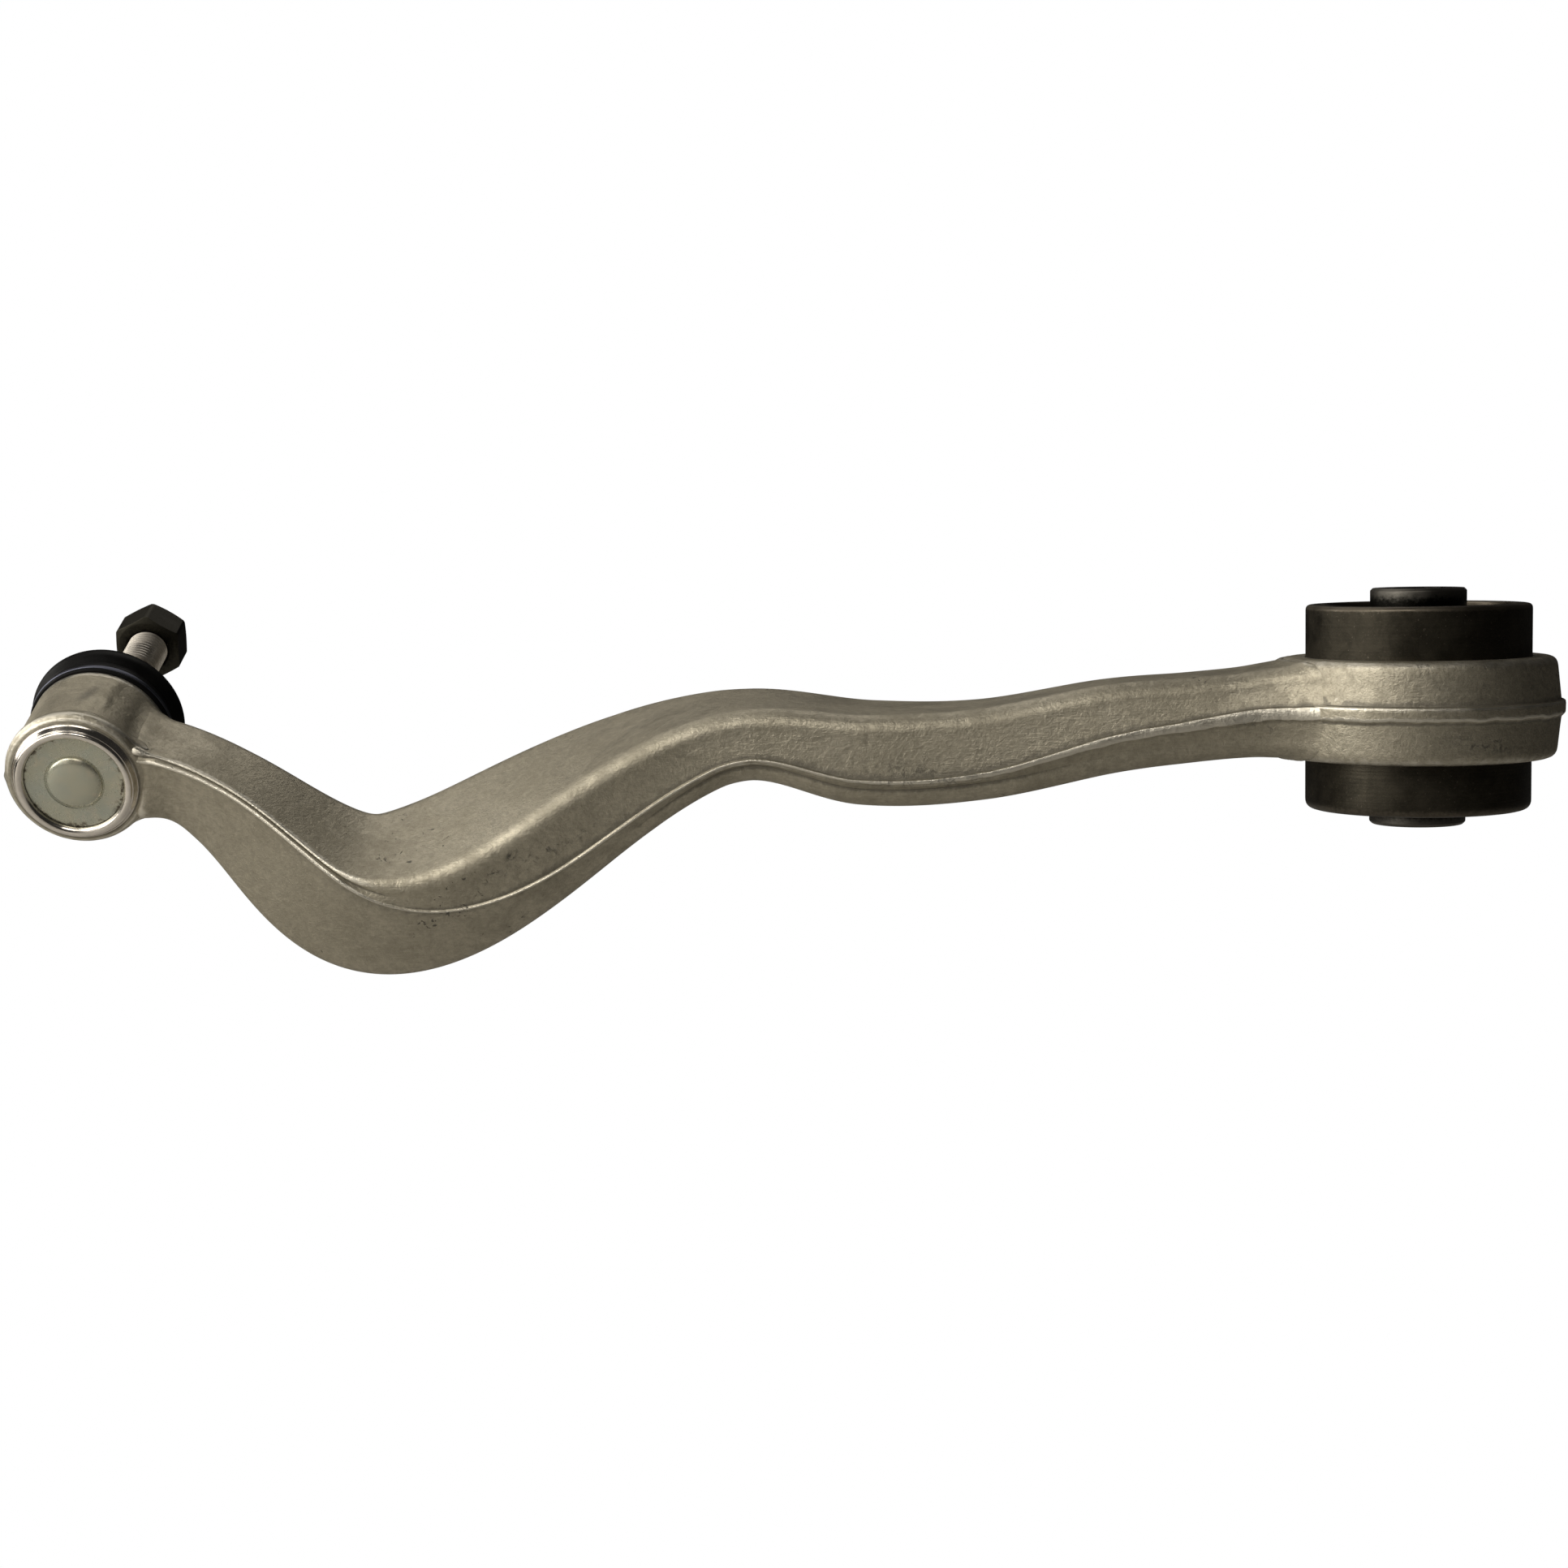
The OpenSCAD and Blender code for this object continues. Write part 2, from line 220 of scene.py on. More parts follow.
def newGroup(name, inputs, outputs):
    tree = bpy.data.node_groups.new(name, "ShaderNodeTree")
    for label, kind, value in inputs:
        socket = tree.interface.new_socket(label, in_out="INPUT", socket_type=kind)
        if value is not None:
            socket.default_value = value
    for label, kind in outputs:
        tree.interface.new_socket(label, in_out="OUTPUT", socket_type=kind)
    return tree, tree.nodes.new("NodeGroupInput"), tree.nodes.new("NodeGroupOutput")


def give(tree, socket, value):
    # links another node's output to a socket, or sets the socket's own value
    if hasattr(value, "is_output"):
        tree.links.new(value, socket)
    else:
        socket.default_value = value


def addNode(tree, kind, settings=None, **values):
    node = tree.nodes.new(kind if "Node" in kind else "ShaderNode" + kind)
    for key, value in (settings or {}).items():
        setattr(node, key, value)
    for key, value in values.items():
        give(tree, node.inputs[key.replace("_", " ")], value)
    return node


def math2(tree, operation, a, b=None, clamp=False):
    node = addNode(tree, "Math", {"operation": operation, "use_clamp": clamp})
    give(tree, node.inputs[0], a)
    if b is not None:
        give(tree, node.inputs[1], b)
    return node.outputs[0]


def plus(tree, a, b):
    return math2(tree, "ADD", a, b)


def minus(tree, a, b):
    return math2(tree, "SUBTRACT", a, b)


def times(tree, a, b):
    return math2(tree, "MULTIPLY", a, b)


def ramp(tree, value, low, high, toLow=0.0, toHigh=1.0):
    node = addNode(tree, "MapRange", {"interpolation_type": "SMOOTHSTEP"}, Value=value, From_Min=low,
                   From_Max=high, To_Min=toLow, To_Max=toHigh)
    return node.outputs["Result"]


def mixed(tree, factor, a, b):
    node = addNode(tree, "Mix", {"data_type": "RGBA", "clamp_factor": True})
    for socket, value in zip((node.inputs[0], node.inputs[6], node.inputs[7]), (factor, a, b)):
        give(tree, socket, (*value, 1.0) if isinstance(value, (tuple, list)) else value)
    return node.outputs[2]


def fromAxis(tree, place):
    # distance from the Z axis, and the height along it
    x, y, z = addNode(tree, "SeparateXYZ", Vector=place).outputs
    return math2(tree, "SQRT", plus(tree, times(tree, x, x), times(tree, y, y))), z


vectorKind, floatKind = "NodeSocketVector", "NodeSocketFloat"


def grainGroup():
    # cloudy tone and fine tooth of a tumbled or cast surface
    tree, into, out = newGroup(
        "tumbledGrain",
        [("Vector", vectorKind, None), ("Cloud Scale", floatKind, 40.0), ("Tooth Scale", floatKind, 1500.0)],
        [("Cloud", floatKind), ("Tooth", floatKind), ("Blotch", floatKind)])
    point = into.outputs["Vector"]
    cloud = addNode(tree, "TexNoise", Vector=point, Scale=into.outputs["Cloud Scale"], Detail=5.0,
                    Roughness=0.62)
    tooth = addNode(tree, "TexNoise", Vector=point, Scale=into.outputs["Tooth Scale"], Detail=3.0,
                    Roughness=0.6)
    wide = times(tree, into.outputs["Cloud Scale"], 3.4)
    blotch = addNode(tree, "TexNoise", Vector=point, Scale=wide, Detail=4.0, Roughness=0.7, Distortion=0.6)
    tree.links.new(ramp(tree, cloud.outputs[0], 0.3, 0.7), out.inputs["Cloud"])
    tree.links.new(tooth.outputs[0], out.inputs["Tooth"])
    tree.links.new(ramp(tree, blotch.outputs[0], 0.35, 0.68), out.inputs["Blotch"])
    return tree


def wearGroup():
    # bright rubbed crests and dirt in hollows, broken up by noise
    tree, into, out = newGroup(
        "edgeRub",
        [("Vector", vectorKind, None), ("Break Up", floatKind, 600.0), ("Start", floatKind, 0.25),
         ("Full", floatKind, 0.8)],
        [("Rubbed", floatKind), ("Dirt", floatKind)])
    point = into.outputs["Vector"]
    crest = addNode(tree, "Attribute", {"attribute_name": "crest"}).outputs["Fac"]
    hollow = addNode(tree, "Attribute", {"attribute_name": "hollow"}).outputs["Fac"]
    chips = addNode(tree, "TexNoise", Vector=point, Scale=into.outputs["Break Up"], Detail=4.0,
                    Roughness=0.65)
    breakUp = minus(tree, chips.outputs[0], 0.5)
    rub = plus(tree, crest, times(tree, breakUp, 0.9))
    dirt = plus(tree, hollow, times(tree, breakUp, 1.1))
    tree.links.new(ramp(tree, rub, into.outputs["Start"], into.outputs["Full"]), out.inputs["Rubbed"])
    tree.links.new(ramp(tree, dirt, into.outputs["Start"], into.outputs["Full"]), out.inputs["Dirt"])
    return tree


def pitGroup():
    # scattered dark pits and nicks
    tree, into, out = newGroup(
        "pits",
        [("Vector", vectorKind, None), ("Scale", floatKind, 260.0), ("Patch Scale", floatKind, 30.0),
         ("Amount", floatKind, 0.5)],
        [("Pits", floatKind)])
    point = into.outputs["Vector"]
    nicks = addNode(tree, "TexNoise", Vector=point, Scale=into.outputs["Scale"], Detail=2.0, Roughness=0.8,
                    Distortion=1.2)
    patch = addNode(tree, "TexNoise", Vector=point, Scale=into.outputs["Patch Scale"], Detail=3.0,
                    Roughness=0.6)
    where = times(tree, ramp(tree, patch.outputs[0], 0.48, 0.72), into.outputs["Amount"])
    edge = minus(tree, 0.78, times(tree, where, 0.2))
    tree.links.new(ramp(tree, nicks.outputs[0], edge, plus(tree, edge, 0.05)), out.inputs["Pits"])
    return tree


def latheMarkGroup():
    # fine rings left by turning, about the Z axis of the vector that is handed in
    tree, into, out = newGroup(
        "latheMarks",
        [("Vector", vectorKind, None), ("Ring Scale", floatKind, 4000.0), ("Sweep Scale", floatKind, 60.0)],
        [("Rings", floatKind), ("Sweep", floatKind)])
    radius, height = fromAxis(tree, into.outputs["Vector"])
    flat = addNode(tree, "CombineXYZ", X=radius, Z=height)
    rings = addNode(tree, "TexNoise", Vector=flat.outputs[0], Scale=into.outputs["Ring Scale"], Detail=2.0)
    sweep = addNode(tree, "TexNoise", Vector=into.outputs["Vector"], Scale=into.outputs["Sweep Scale"],
                    Detail=3.0)
    tree.links.new(rings.outputs[0], out.inputs["Rings"])
    tree.links.new(ramp(tree, sweep.outputs[0], 0.35, 0.65), out.inputs["Sweep"])
    return tree


groups = {"grain": grainGroup(), "wear": wearGroup(), "pits": pitGroup(), "marks": latheMarkGroup()}
print("shader effects ready")


def startMaterial(name):
    material = bpy.data.materials.new(name)
    material.use_nodes = True
    tree = material.node_tree
    shader = tree.nodes["Principled BSDF"]
    place = tree.nodes.new("ShaderNodeTexCoord").outputs["Object"]
    return material, tree, shader, place


def useGroup(tree, key, place, **values):
    node = tree.nodes.new("ShaderNodeGroup")
    node.node_tree = groups[key]
    for label, value in {"Vector": place, **values}.items():
        give(tree, node.inputs[label.replace("_", " ")], value)
    return node


def turnedPlace(tree, place, matrix):
    # brings the pattern onto a piece's own axis
    back = matrix.inverted()
    node = addNode(tree, "Mapping", {"vector_type": "POINT"}, Vector=place, Rotation=back.to_euler(),
                   Location=[c * mm for c in back.translation])
    return node.outputs[0]


def dress(tree, shader, colour, rough, height, strength, distance):
    tree.links.new(colour, shader.inputs["Base Color"])
    tree.links.new(rough, shader.inputs["Roughness"])
    bump = addNode(tree, "Bump", Strength=strength, Distance=distance, Height=height)
    tree.links.new(bump.outputs[0], shader.inputs["Normal"])


def spotMask(tree, place, centre, size, turn):
    # soft mask round one place; centre and size are in millimetres
    node = addNode(tree, "Mapping", {"vector_type": "TEXTURE"}, Vector=place,
                   Rotation=(0, math.radians(turn), 0),
                   Location=[c * mm for c in centre], Scale=[c * mm for c in size])
    length = addNode(tree, "VectorMath", {"operation": "LENGTH"}, Vector=node.outputs[0])
    return ramp(tree, length.outputs["Value"], 0.35, 1.0, 1.0, 0.0)


forgedLook = {
    "body": (0.46, 0.42, 0.325), "pale": (0.57, 0.525, 0.42), "dull": (0.31, 0.283, 0.222),
    "rubbed": (0.80, 0.76, 0.66), "soot": (0.045, 0.042, 0.035),
    "roughness": (0.42, 0.58), "metal": 0.92, "tooth": 0.00022, "brushing": (0.12, 1.0, 1.0),
}


def forgedAluminium():
    look = forgedLook
    material, tree, shader, place = startMaterial("forgedAluminium")
    grain = useGroup(tree, "grain", place, Cloud_Scale=22.0, Tooth_Scale=1100.0)
    wear = useGroup(tree, "wear", place, Break_Up=420.0, Start=0.34, Full=0.85)
    pits = useGroup(tree, "pits", place, Scale=330.0, Patch_Scale=34.0, Amount=1.0)
    brushed = addNode(tree, "Mapping", Vector=place, Scale=look["brushing"])
    hair = addNode(tree, "TexNoise", Vector=brushed.outputs[0], Scale=2400.0, Detail=3.0, Roughness=0.6)
    colour = mixed(tree, grain.outputs["Cloud"], look["body"], look["pale"])
    colour = mixed(tree, times(tree, grain.outputs["Blotch"], 0.45), colour, look["dull"])
    fine = ramp(tree, hair.outputs[0], 0.34, 0.66)
    colour = mixed(tree, times(tree, fine, 0.34), colour, look["dull"])
    mottle = addNode(tree, "TexNoise", Vector=place, Scale=520.0, Detail=6.0, Roughness=0.75, Distortion=0.3)
    colour = mixed(tree, ramp(tree, mottle.outputs[0], 0.42, 0.66, 0.0, 0.55), colour, look["dull"])
    colour = mixed(tree, ramp(tree, mottle.outputs[0], 0.46, 0.30, 0.0, 0.45), colour, look["pale"])
    colour = mixed(tree, times(tree, wear.outputs["Rubbed"], 0.75), colour, look["rubbed"])
    soot = times(tree, wear.outputs["Dirt"], 0.5)
    soot = math2(tree, "MAXIMUM", soot, times(tree, pits.outputs["Pits"], 0.8))
    # handling marks that sit at one place each: smudge, stained flank, scored ring
    smear = addNode(tree, "TexNoise", Vector=place, Scale=420.0, Detail=4.0, Roughness=0.7, Distortion=0.8)
    for centre, size, turn, low, amount in stains:
        mask = spotMask(tree, place, centre, size, turn)
        torn = ramp(tree, smear.outputs[0], low, low + 0.16)
        soot = math2(tree, "MAXIMUM", soot, times(tree, times(tree, mask, torn), amount))
    colour = mixed(tree, soot, colour, look["soot"])
    low, high = look["roughness"]
    rough = ramp(tree, grain.outputs["Blotch"], 0.0, 1.0, low, high)
    rough = minus(tree, rough, times(tree, wear.outputs["Rubbed"], 0.14))
    metal = math2(tree, "SUBTRACT", look["metal"], math2(tree, "MULTIPLY", soot, 0.7), clamp=True)
    height = plus(tree, grain.outputs["Tooth"], times(tree, hair.outputs[0], 0.8))
    height = plus(tree, height, times(tree, mottle.outputs[0], 1.5))
    height = plus(tree, height, times(tree, grain.outputs["Blotch"], 0.8))
    height = minus(tree, height, times(tree, pits.outputs["Pits"], 1.6))
    tree.links.new(metal, shader.inputs["Metallic"])
    dress(tree, shader, colour, rough, height, 0.5, look["tooth"])
    return material


# centre, half size, turn about Y, noise level where the stain starts, strength
stains = [
    ((-366.5, -13, 9.6), (2.5, 14, 6.8), 41, 0.30, 0.8),
    ((-253, -24, -43), (7, 9, 3), -40, 0.50, 0.85),
    ((-246, -24, -37), (3, 9, 1.6), -40, 0.40, 0.9),
    ((-232, -24, -34), (30, 9, 4.5), -28, 0.50, 0.85),
    ((-272, -24, -63), (14, 10, 4), 20, 0.56, 0.6),
    ((-300, -22, -66), (12, 10, 9), 60, 0.60, 0.5),
    ((-136, -24, -16), (30, 10, 7), 4, 0.47, 0.8),
    ((14, -36, -8), (18, 12, 3.4), 6, 0.49, 0.75),
    ((14, -36, 8), (14, 12, 4), 0, 0.52, 0.6),
    ((-44, -16, -2), (9, 16, 8), 0, 0.50, 0.6),
    ((-200, 24, -12), (34, 10, 7), -20, 0.56, 0.5),
    ((-60, 26, -4), (26, 12, 6), 0, 0.57, 0.5),
    ((-310, 20, -50), (24, 10, 12), 40, 0.58, 0.5),
]

metalFinishes = {
    # name: base, second tone, roughness low and high, metallic, ring scale, bump, wear colour, wear amount
    "rolledRim": ((0.86, 0.80, 0.72), (0.62, 0.57, 0.51), 0.13, 0.24, 1.0, 5200.0, 0.000016,
                  (0.9, 0.86, 0.8), 0.3),
    "studSteel": ((0.50, 0.45, 0.38), (0.30, 0.27, 0.23), 0.26, 0.42, 1.0, 3600.0, 0.00002,
                  (0.8, 0.76, 0.7), 0.5),
    "canSteel": ((0.060, 0.053, 0.040), (0.032, 0.029, 0.022), 0.36, 0.52, 0.97, 1400.0, 0.00006,
                 (0.22, 0.19, 0.15), 0.45),
    "sleeveSteel": ((0.008, 0.0075, 0.006), (0.005, 0.005, 0.004), 0.34, 0.5, 0.97, 2200.0, 0.00003,
                    (0.35, 0.33, 0.29), 0.35),
    "nutBlack": ((0.010, 0.0095, 0.0075), (0.006, 0.0055, 0.0045), 0.32, 0.48, 0.97, 1500.0, 0.00006,
                 (0.07, 0.065, 0.05), 0.5),
    "ringSteel": ((0.030, 0.032, 0.042), (0.016, 0.017, 0.022), 0.30, 0.45, 0.97, 2600.0, 0.00002,
                  (0.20, 0.21, 0.27), 0.5),
    "pressedSteel": ((0.42, 0.42, 0.43), (0.26, 0.25, 0.25), 0.34, 0.5, 1.0, 1800.0, 0.00003,
                     (0.6, 0.6, 0.6), 0.4),
}


def turnedMetal(name, matrix):
    base, second, low, high, metal, ringScale, depth, worn, amount = metalFinishes[name]
    material, tree, shader, place = startMaterial(name)
    onAxis = turnedPlace(tree, place, matrix)
    marks = useGroup(tree, "marks", onAxis, Ring_Scale=ringScale, Sweep_Scale=70.0)
    grain = useGroup(tree, "grain", place, Cloud_Scale=60.0, Tooth_Scale=1900.0)
    wear = useGroup(tree, "wear", place, Break_Up=900.0, Start=0.3, Full=0.95)
    tone = times(tree, grain.outputs["Blotch"], 0.7)
    colour = mixed(tree, tone, base, second)
    colour = mixed(tree, times(tree, ramp(tree, marks.outputs["Rings"], 0.35, 0.65), 0.22), colour, second)
    if name in ("canSteel", "nutBlack"):  # bare specks where the black finish is rubbed through
        speck = addNode(tree, "TexNoise", Vector=place, Scale=1300.0, Detail=2.0, Roughness=0.7)
        specks = times(tree, ramp(tree, speck.outputs[0], 0.64, 0.74), grain.outputs["Cloud"])
        colour = mixed(tree, times(tree, specks, 0.8), colour, worn)
    colour = mixed(tree, times(tree, wear.outputs["Rubbed"], amount), colour, worn)
    rough = ramp(tree, marks.outputs["Sweep"], 0.0, 1.0, low, high)
    height = plus(tree, marks.outputs["Rings"], times(tree, grain.outputs["Tooth"], 0.7))
    shader.inputs["Metallic"].default_value = metal
    dress(tree, shader, colour, rough, height, 0.6, depth)
    return material


def zincPlate():
    # yellow-green passivated zinc, with rust creeping in from the rolled rim, and painted shade: a near-black
    # line in the corner at the foot of the rolled lip
    material, tree, shader, place = startMaterial("zincPlate")
    onAxis = turnedPlace(tree, place, ballFrame)
    grain = useGroup(tree, "grain", place, Cloud_Scale=90.0, Tooth_Scale=2600.0)
    colour = mixed(tree, grain.outputs["Cloud"], (0.52, 0.51, 0.40), (0.46, 0.48, 0.41))
    film = addNode(tree, "TexNoise", Vector=place, Scale=160.0, Detail=4.0, Roughness=0.6, Distortion=1.0)
    colour = mixed(tree, ramp(tree, film.outputs[0], 0.5, 0.75, 0.0, 0.4), colour, (0.70, 0.60, 0.46))
    radius, _ = fromAxis(tree, onAxis)
    creep = plus(tree, radius, times(tree, minus(tree, film.outputs[0], 0.5), 0.006))
    rust = ramp(tree, creep, 0.0131, 0.0142)
    patchy = addNode(tree, "TexNoise", Vector=place, Scale=700.0, Detail=4.0, Roughness=0.7)
    rust = times(tree, rust, ramp(tree, patchy.outputs[0], 0.42, 0.6))
    colour = mixed(tree, rust, colour, (0.10, 0.085, 0.06))
    # painted shade: a near-black line round the cover's edge, in the corner where it meets the rolled lip
    colour = mixed(tree, ramp(tree, radius, 0.01385, 0.0141), colour, (0.018, 0.016, 0.012))
    rough = ramp(tree, grain.outputs["Blotch"], 0.0, 1.0, 0.24, 0.36)
    rough = times(tree, rough, ramp(tree, radius, 0.0062, 0.0070, 0.62, 1.0))
    shader.inputs["Metallic"].default_value = 0.75
    dress(tree, shader, colour, rough, grain.outputs["Tooth"], 0.35, 0.00003)
    return material


def mouldedRubber(name, tone, low, high, sheen):
    material, tree, shader, place = startMaterial(name)
    grain = useGroup(tree, "grain", place, Cloud_Scale=70.0, Tooth_Scale=2100.0)
    wear = useGroup(tree, "wear", place, Break_Up=700.0, Start=0.3, Full=1.0)
    dusty = [min(1, c * 2.0 + 0.003) for c in tone]
    colour = mixed(tree, times(tree, grain.outputs["Blotch"], 0.4), tone, dusty)
    colour = mixed(tree, times(tree, wear.outputs["Rubbed"], 0.35), colour, dusty)
    rough = ramp(tree, grain.outputs["Cloud"], 0.0, 1.0, low, high)
    shader.inputs["Specular IOR Level"].default_value = sheen
    dress(tree, shader, colour, rough, grain.outputs["Tooth"], 0.4, 0.00004)
    return material


def mouldedPlastic(name, tone, second, roughness):
    material, tree, shader, place = startMaterial(name)
    grain = useGroup(tree, "grain", place, Cloud_Scale=50.0, Tooth_Scale=1600.0)
    colour = mixed(tree, times(tree, grain.outputs["Cloud"], 0.5), tone, second)
    rough = ramp(tree, grain.outputs["Blotch"], 0.0, 1.0, roughness - 0.06, roughness + 0.08)
    dress(tree, shader, colour, rough, grain.outputs["Tooth"], 0.3, 0.00003)
    return material


skin = forgedAluminium()
rim = turnedMetal("rolledRim", ballFrame)
studSteel = turnedMetal("studSteel", ballFrame)
nutBlack = turnedMetal("nutBlack", ballFrame)
ringSteel = turnedMetal("ringSteel", ballFrame)
canSteel = turnedMetal("canSteel", restFrame)
sleeveSteel = turnedMetal("sleeveSteel", restFrame)
pressedSteel = turnedMetal("pressedSteel", restFrame)
plate = zincPlate()
bootRubber = mouldedRubber("bootRubber", (0.003, 0.003, 0.003), 0.40, 0.56, 0.07)
bushRubber = mouldedRubber("bushRubber", (0.006, 0.006, 0.006), 0.5, 0.66, 0.2)
seatPlastic = mouldedPlastic("seatPlastic", (0.80, 0.78, 0.70), (0.72, 0.70, 0.62), 0.4)
filledPlastic = mouldedPlastic("filledPlastic", (0.030, 0.030, 0.033), (0.05, 0.05, 0.055), 0.5)
stopPlastic = mouldedPlastic("stopPlastic", (0.56, 0.52, 0.42), (0.48, 0.45, 0.36), 0.45)
print("finishes ready")


armShape = {
    "sectionsPerStation": 20, "look": 0.6, "draft": 1.5, "corner": 5.0, "ridge": 0.75, "landRise": 0.3,
    "ridgeHalf": 0.28, "landHalf": 1.6, "ridgeFull": -285.0, "ridgeLow": 0.4, "ridgeFade": 45,
    "landFrom": -160.0, "landTo": -44.0,
    "crown": 0.35, "capSteps": 5, "housingHold": 17.9, "eyeHold": 33.6, "bendEven": 8,
    "bendSpan": (-348.0, -190.0),
}
# x, z, width, height, roll, and where the parting ridge sits on the near wall
armStations = [
    (-364, -11, 26, 21, 24, 0.6), (-346, -14.2, 25, 20.5, 27, 0.85), (-328, -24.5, 24, 27, 30, 0.95),
    (-311, -40, 28.5, 34.6, 30, 0.95), (-292, -51.6, 36, 39.6, 32, 0.9), (-268, -46, 42.5, 33, 37, 0.3),
    (-242, -31, 43, 28.5, 33, -0.2), (-212, -14, 41, 23.5, 19, -0.34), (-182, -6, 39, 19.6, 9, -0.3),
    (-150, -11.2, 39, 24.6, 5, -0.4), (-118, -10.6, 39, 24.6, 2, -0.4), (-84, -4.6, 39, 23.8, 0, -0.22),
    (-62, -2.4, 39, 22.6, 0, -0.1), (-48, -1.2, 39.8, 22.6, 0, 0), (-40, -0.6, 41.6, 23.8, 0, 0),
    (-33, -0.2, 45.8, 25.2, 0, 0), (-28, 0, 50.6, 25.8, 0, 0), (-24, 0, 54.6, 25.8, 0, 0),
]


def armAt(u):
    table = armStations
    i = min(len(table) - 2, int(u))
    a, b, c, d = (np.array(table[max(0, min(len(table) - 1, k))], float) for k in (i - 1, i, i + 1, i + 2))
    t = u - i
    return 0.5 * (2 * b + (c - a) * t + (2 * a - 5 * b + 4 * c - d) * t * t
                  + (3 * b - a - 3 * c + d) * t ** 3)


def waver(along, seed):
    # gentle unevenness of a trimmed edge
    return noise.noise(Vector((along * 0.11, seed, 0))) + 0.5 * noise.noise(Vector((along * 0.33, seed, 4)))


def quarter(cx, cy, radius, start, steps=9):
    angles = [math.radians(start + 90 * k / steps) for k in range(steps + 1)]
    return [(cx + radius * math.cos(a), cy + radius * math.sin(a)) for a in angles]


def between(a, b, count):
    return [(a[0] + (b[0] - a[0]) * k / (count + 1), a[1] + (b[1] - a[1]) * k / (count + 1))
            for k in range(1, count + 1)]


def partingRidge(side, width, at, land, run, seed):
    # the trimmed flash on one wall, listed upwards; side is 1 on the near wall and -1 on the far one
    shape = armShape
    w = width / 2
    low = at - land * (1 + 0.35 * waver(run, seed)) - 0.12 * waver(run * 3, seed + 2)
    high = at + land * (1 + 0.10 * waver(run, seed + 5))
    grow = np.clip((run - shape["landFrom"]) / (shape["landTo"] - shape["landFrom"]), 0, 1)
    h = (shape["ridge"] + shape["landRise"] * grow) * (1 + 0.15 * waver(run, seed + 9))
    least = shape["ridgeLow"]
    h *= least + (1 - least) * np.clip((run - shape["ridgeFull"]) / shape["ridgeFade"] + 1, 0, 1)
    steps = [(low - 0.7, 0), (low - 0.25, 0.3 * h), (low, 0.75 * h), (low + 0.2, 0.92 * h),
             ((low + high) / 2, 0.95 * h), (high - 0.15, h), (high, 0.9 * h), (high + 0.12, 0.4 * h),
             (high + 0.35, 0)]
    return [(side * (w + out), z) for z, out in steps]


def armOutline(width, height, split, land, run):
    shape = armShape
    a, b, s = width / 2 - shape["draft"], height / 2, split * height / 2
    corner = min(shape["corner"], b * 0.8)
    tight = max(0.6, min(corner, b - abs(s) - 1.3))
    nearTop, nearFoot = (tight, corner) if s > 0 else (corner, tight)
    near = partingRidge(1, width, s, land, run, 3)
    far = partingRidge(-1, width, -s, land, run, 17)
    far.reverse()
    parts = [
        near, quarter(a - nearTop, b - nearTop, nearTop, 0), quarter(nearFoot - a, b - nearFoot, nearFoot,
                                                                     90),
        far, quarter(nearTop - a, nearTop - b, nearTop, 180), quarter(a - nearFoot, nearFoot - b, nearFoot,
                                                                      270),
    ]
    counts = (6, 14, 6, 6, 14, 6)  # points on the straight stretch after each part
    outline = []
    for i, part in enumerate(parts):
        follow = parts[(i + 1) % len(parts)][0]
        outline += part + between(part[-1], follow, counts[i])
    points = np.array(outline)
    crown = shape["crown"] * np.clip(1 - (points[:, 0] / a) ** 2, 0, 1)
    points[:, 1] += np.sign(points[:, 1]) * crown
    return points


def armSection(u, scale=1.0):
    shape = armShape
    x, z, width, height, roll, split = armAt(u)
    last = len(armStations) - 1
    way = armAt(min(last, u + shape["look"]))[:2] - armAt(max(0, u - shape["look"]))[:2]
    way /= np.linalg.norm(way)
    roll = math.radians(roll)
    up = np.array([-way[1] * math.cos(roll), -math.sin(roll), way[0] * math.cos(roll)])
    near = np.array([way[1] * math.sin(roll), -math.cos(roll), -way[0] * math.sin(roll)])
    grow = np.clip((x - shape["landFrom"]) / (shape["landTo"] - shape["landFrom"]), 0, 1)
    land = shape["ridgeHalf"] + (shape["landHalf"] - shape["ridgeHalf"]) * grow ** 1.5
    points = armOutline(width, height, split, land, x) * scale
    return np.array([x, 0, z]) + points[:, :1] * near + points[:, 1:] * up


def evenedBend(rings):
    # runs each line of the forging smoothly through the tight bend, where sections crowd together
    width = armShape["bendEven"]
    reach = np.arange(-3 * width, 3 * width + 1)
    weight = np.exp(-0.5 * (reach / width) ** 2)
    weight /= weight.sum()
    padded = np.concatenate([rings[:1]] * (3 * width) + [rings] + [rings[-1:]] * (3 * width))
    even = sum(w * padded[i:i + len(rings)] for i, w in enumerate(weight))
    middle = rings.mean(1)[:, 0]
    low, high = armShape["bendSpan"]
    amount = np.clip((middle - low) / 15, 0, 1) * np.clip((high - middle) / 25, 0, 1)
    return rings + (even - rings) * amount[:, None, None]


def armShell():
    shape = armShape
    last = len(armStations) - 1
    caps = [(k + 1) / shape["capSteps"] for k in range(shape["capSteps"] - 1)]
    rings = [armSection(0, c) for c in caps]
    rings += [armSection(k / shape["sectionsPerStation"])
              for k in range(last * shape["sectionsPerStation"] + 1)]
    rings += [armSection(last, c) for c in reversed(caps)]
    rings = evenedBend(np.array(rings))
    count = len(rings[0])
    verts = np.concatenate(rings)
    ends = [armSection(0).mean(0), armSection(last).mean(0)]
    faces = [bandFace(i, j, len(rings), count) for i in range(len(rings) - 1) for j in range(count)]
    first, final = len(verts), len(verts) + 1
    top = (len(rings) - 1) * count
    for j in range(count):
        k = (j + 1) % count
        faces.append((first, k, j))
        faces.append((final, top + j, top + k))
    verts = np.concatenate([verts, ends])
    return verts, outward(verts, faces)


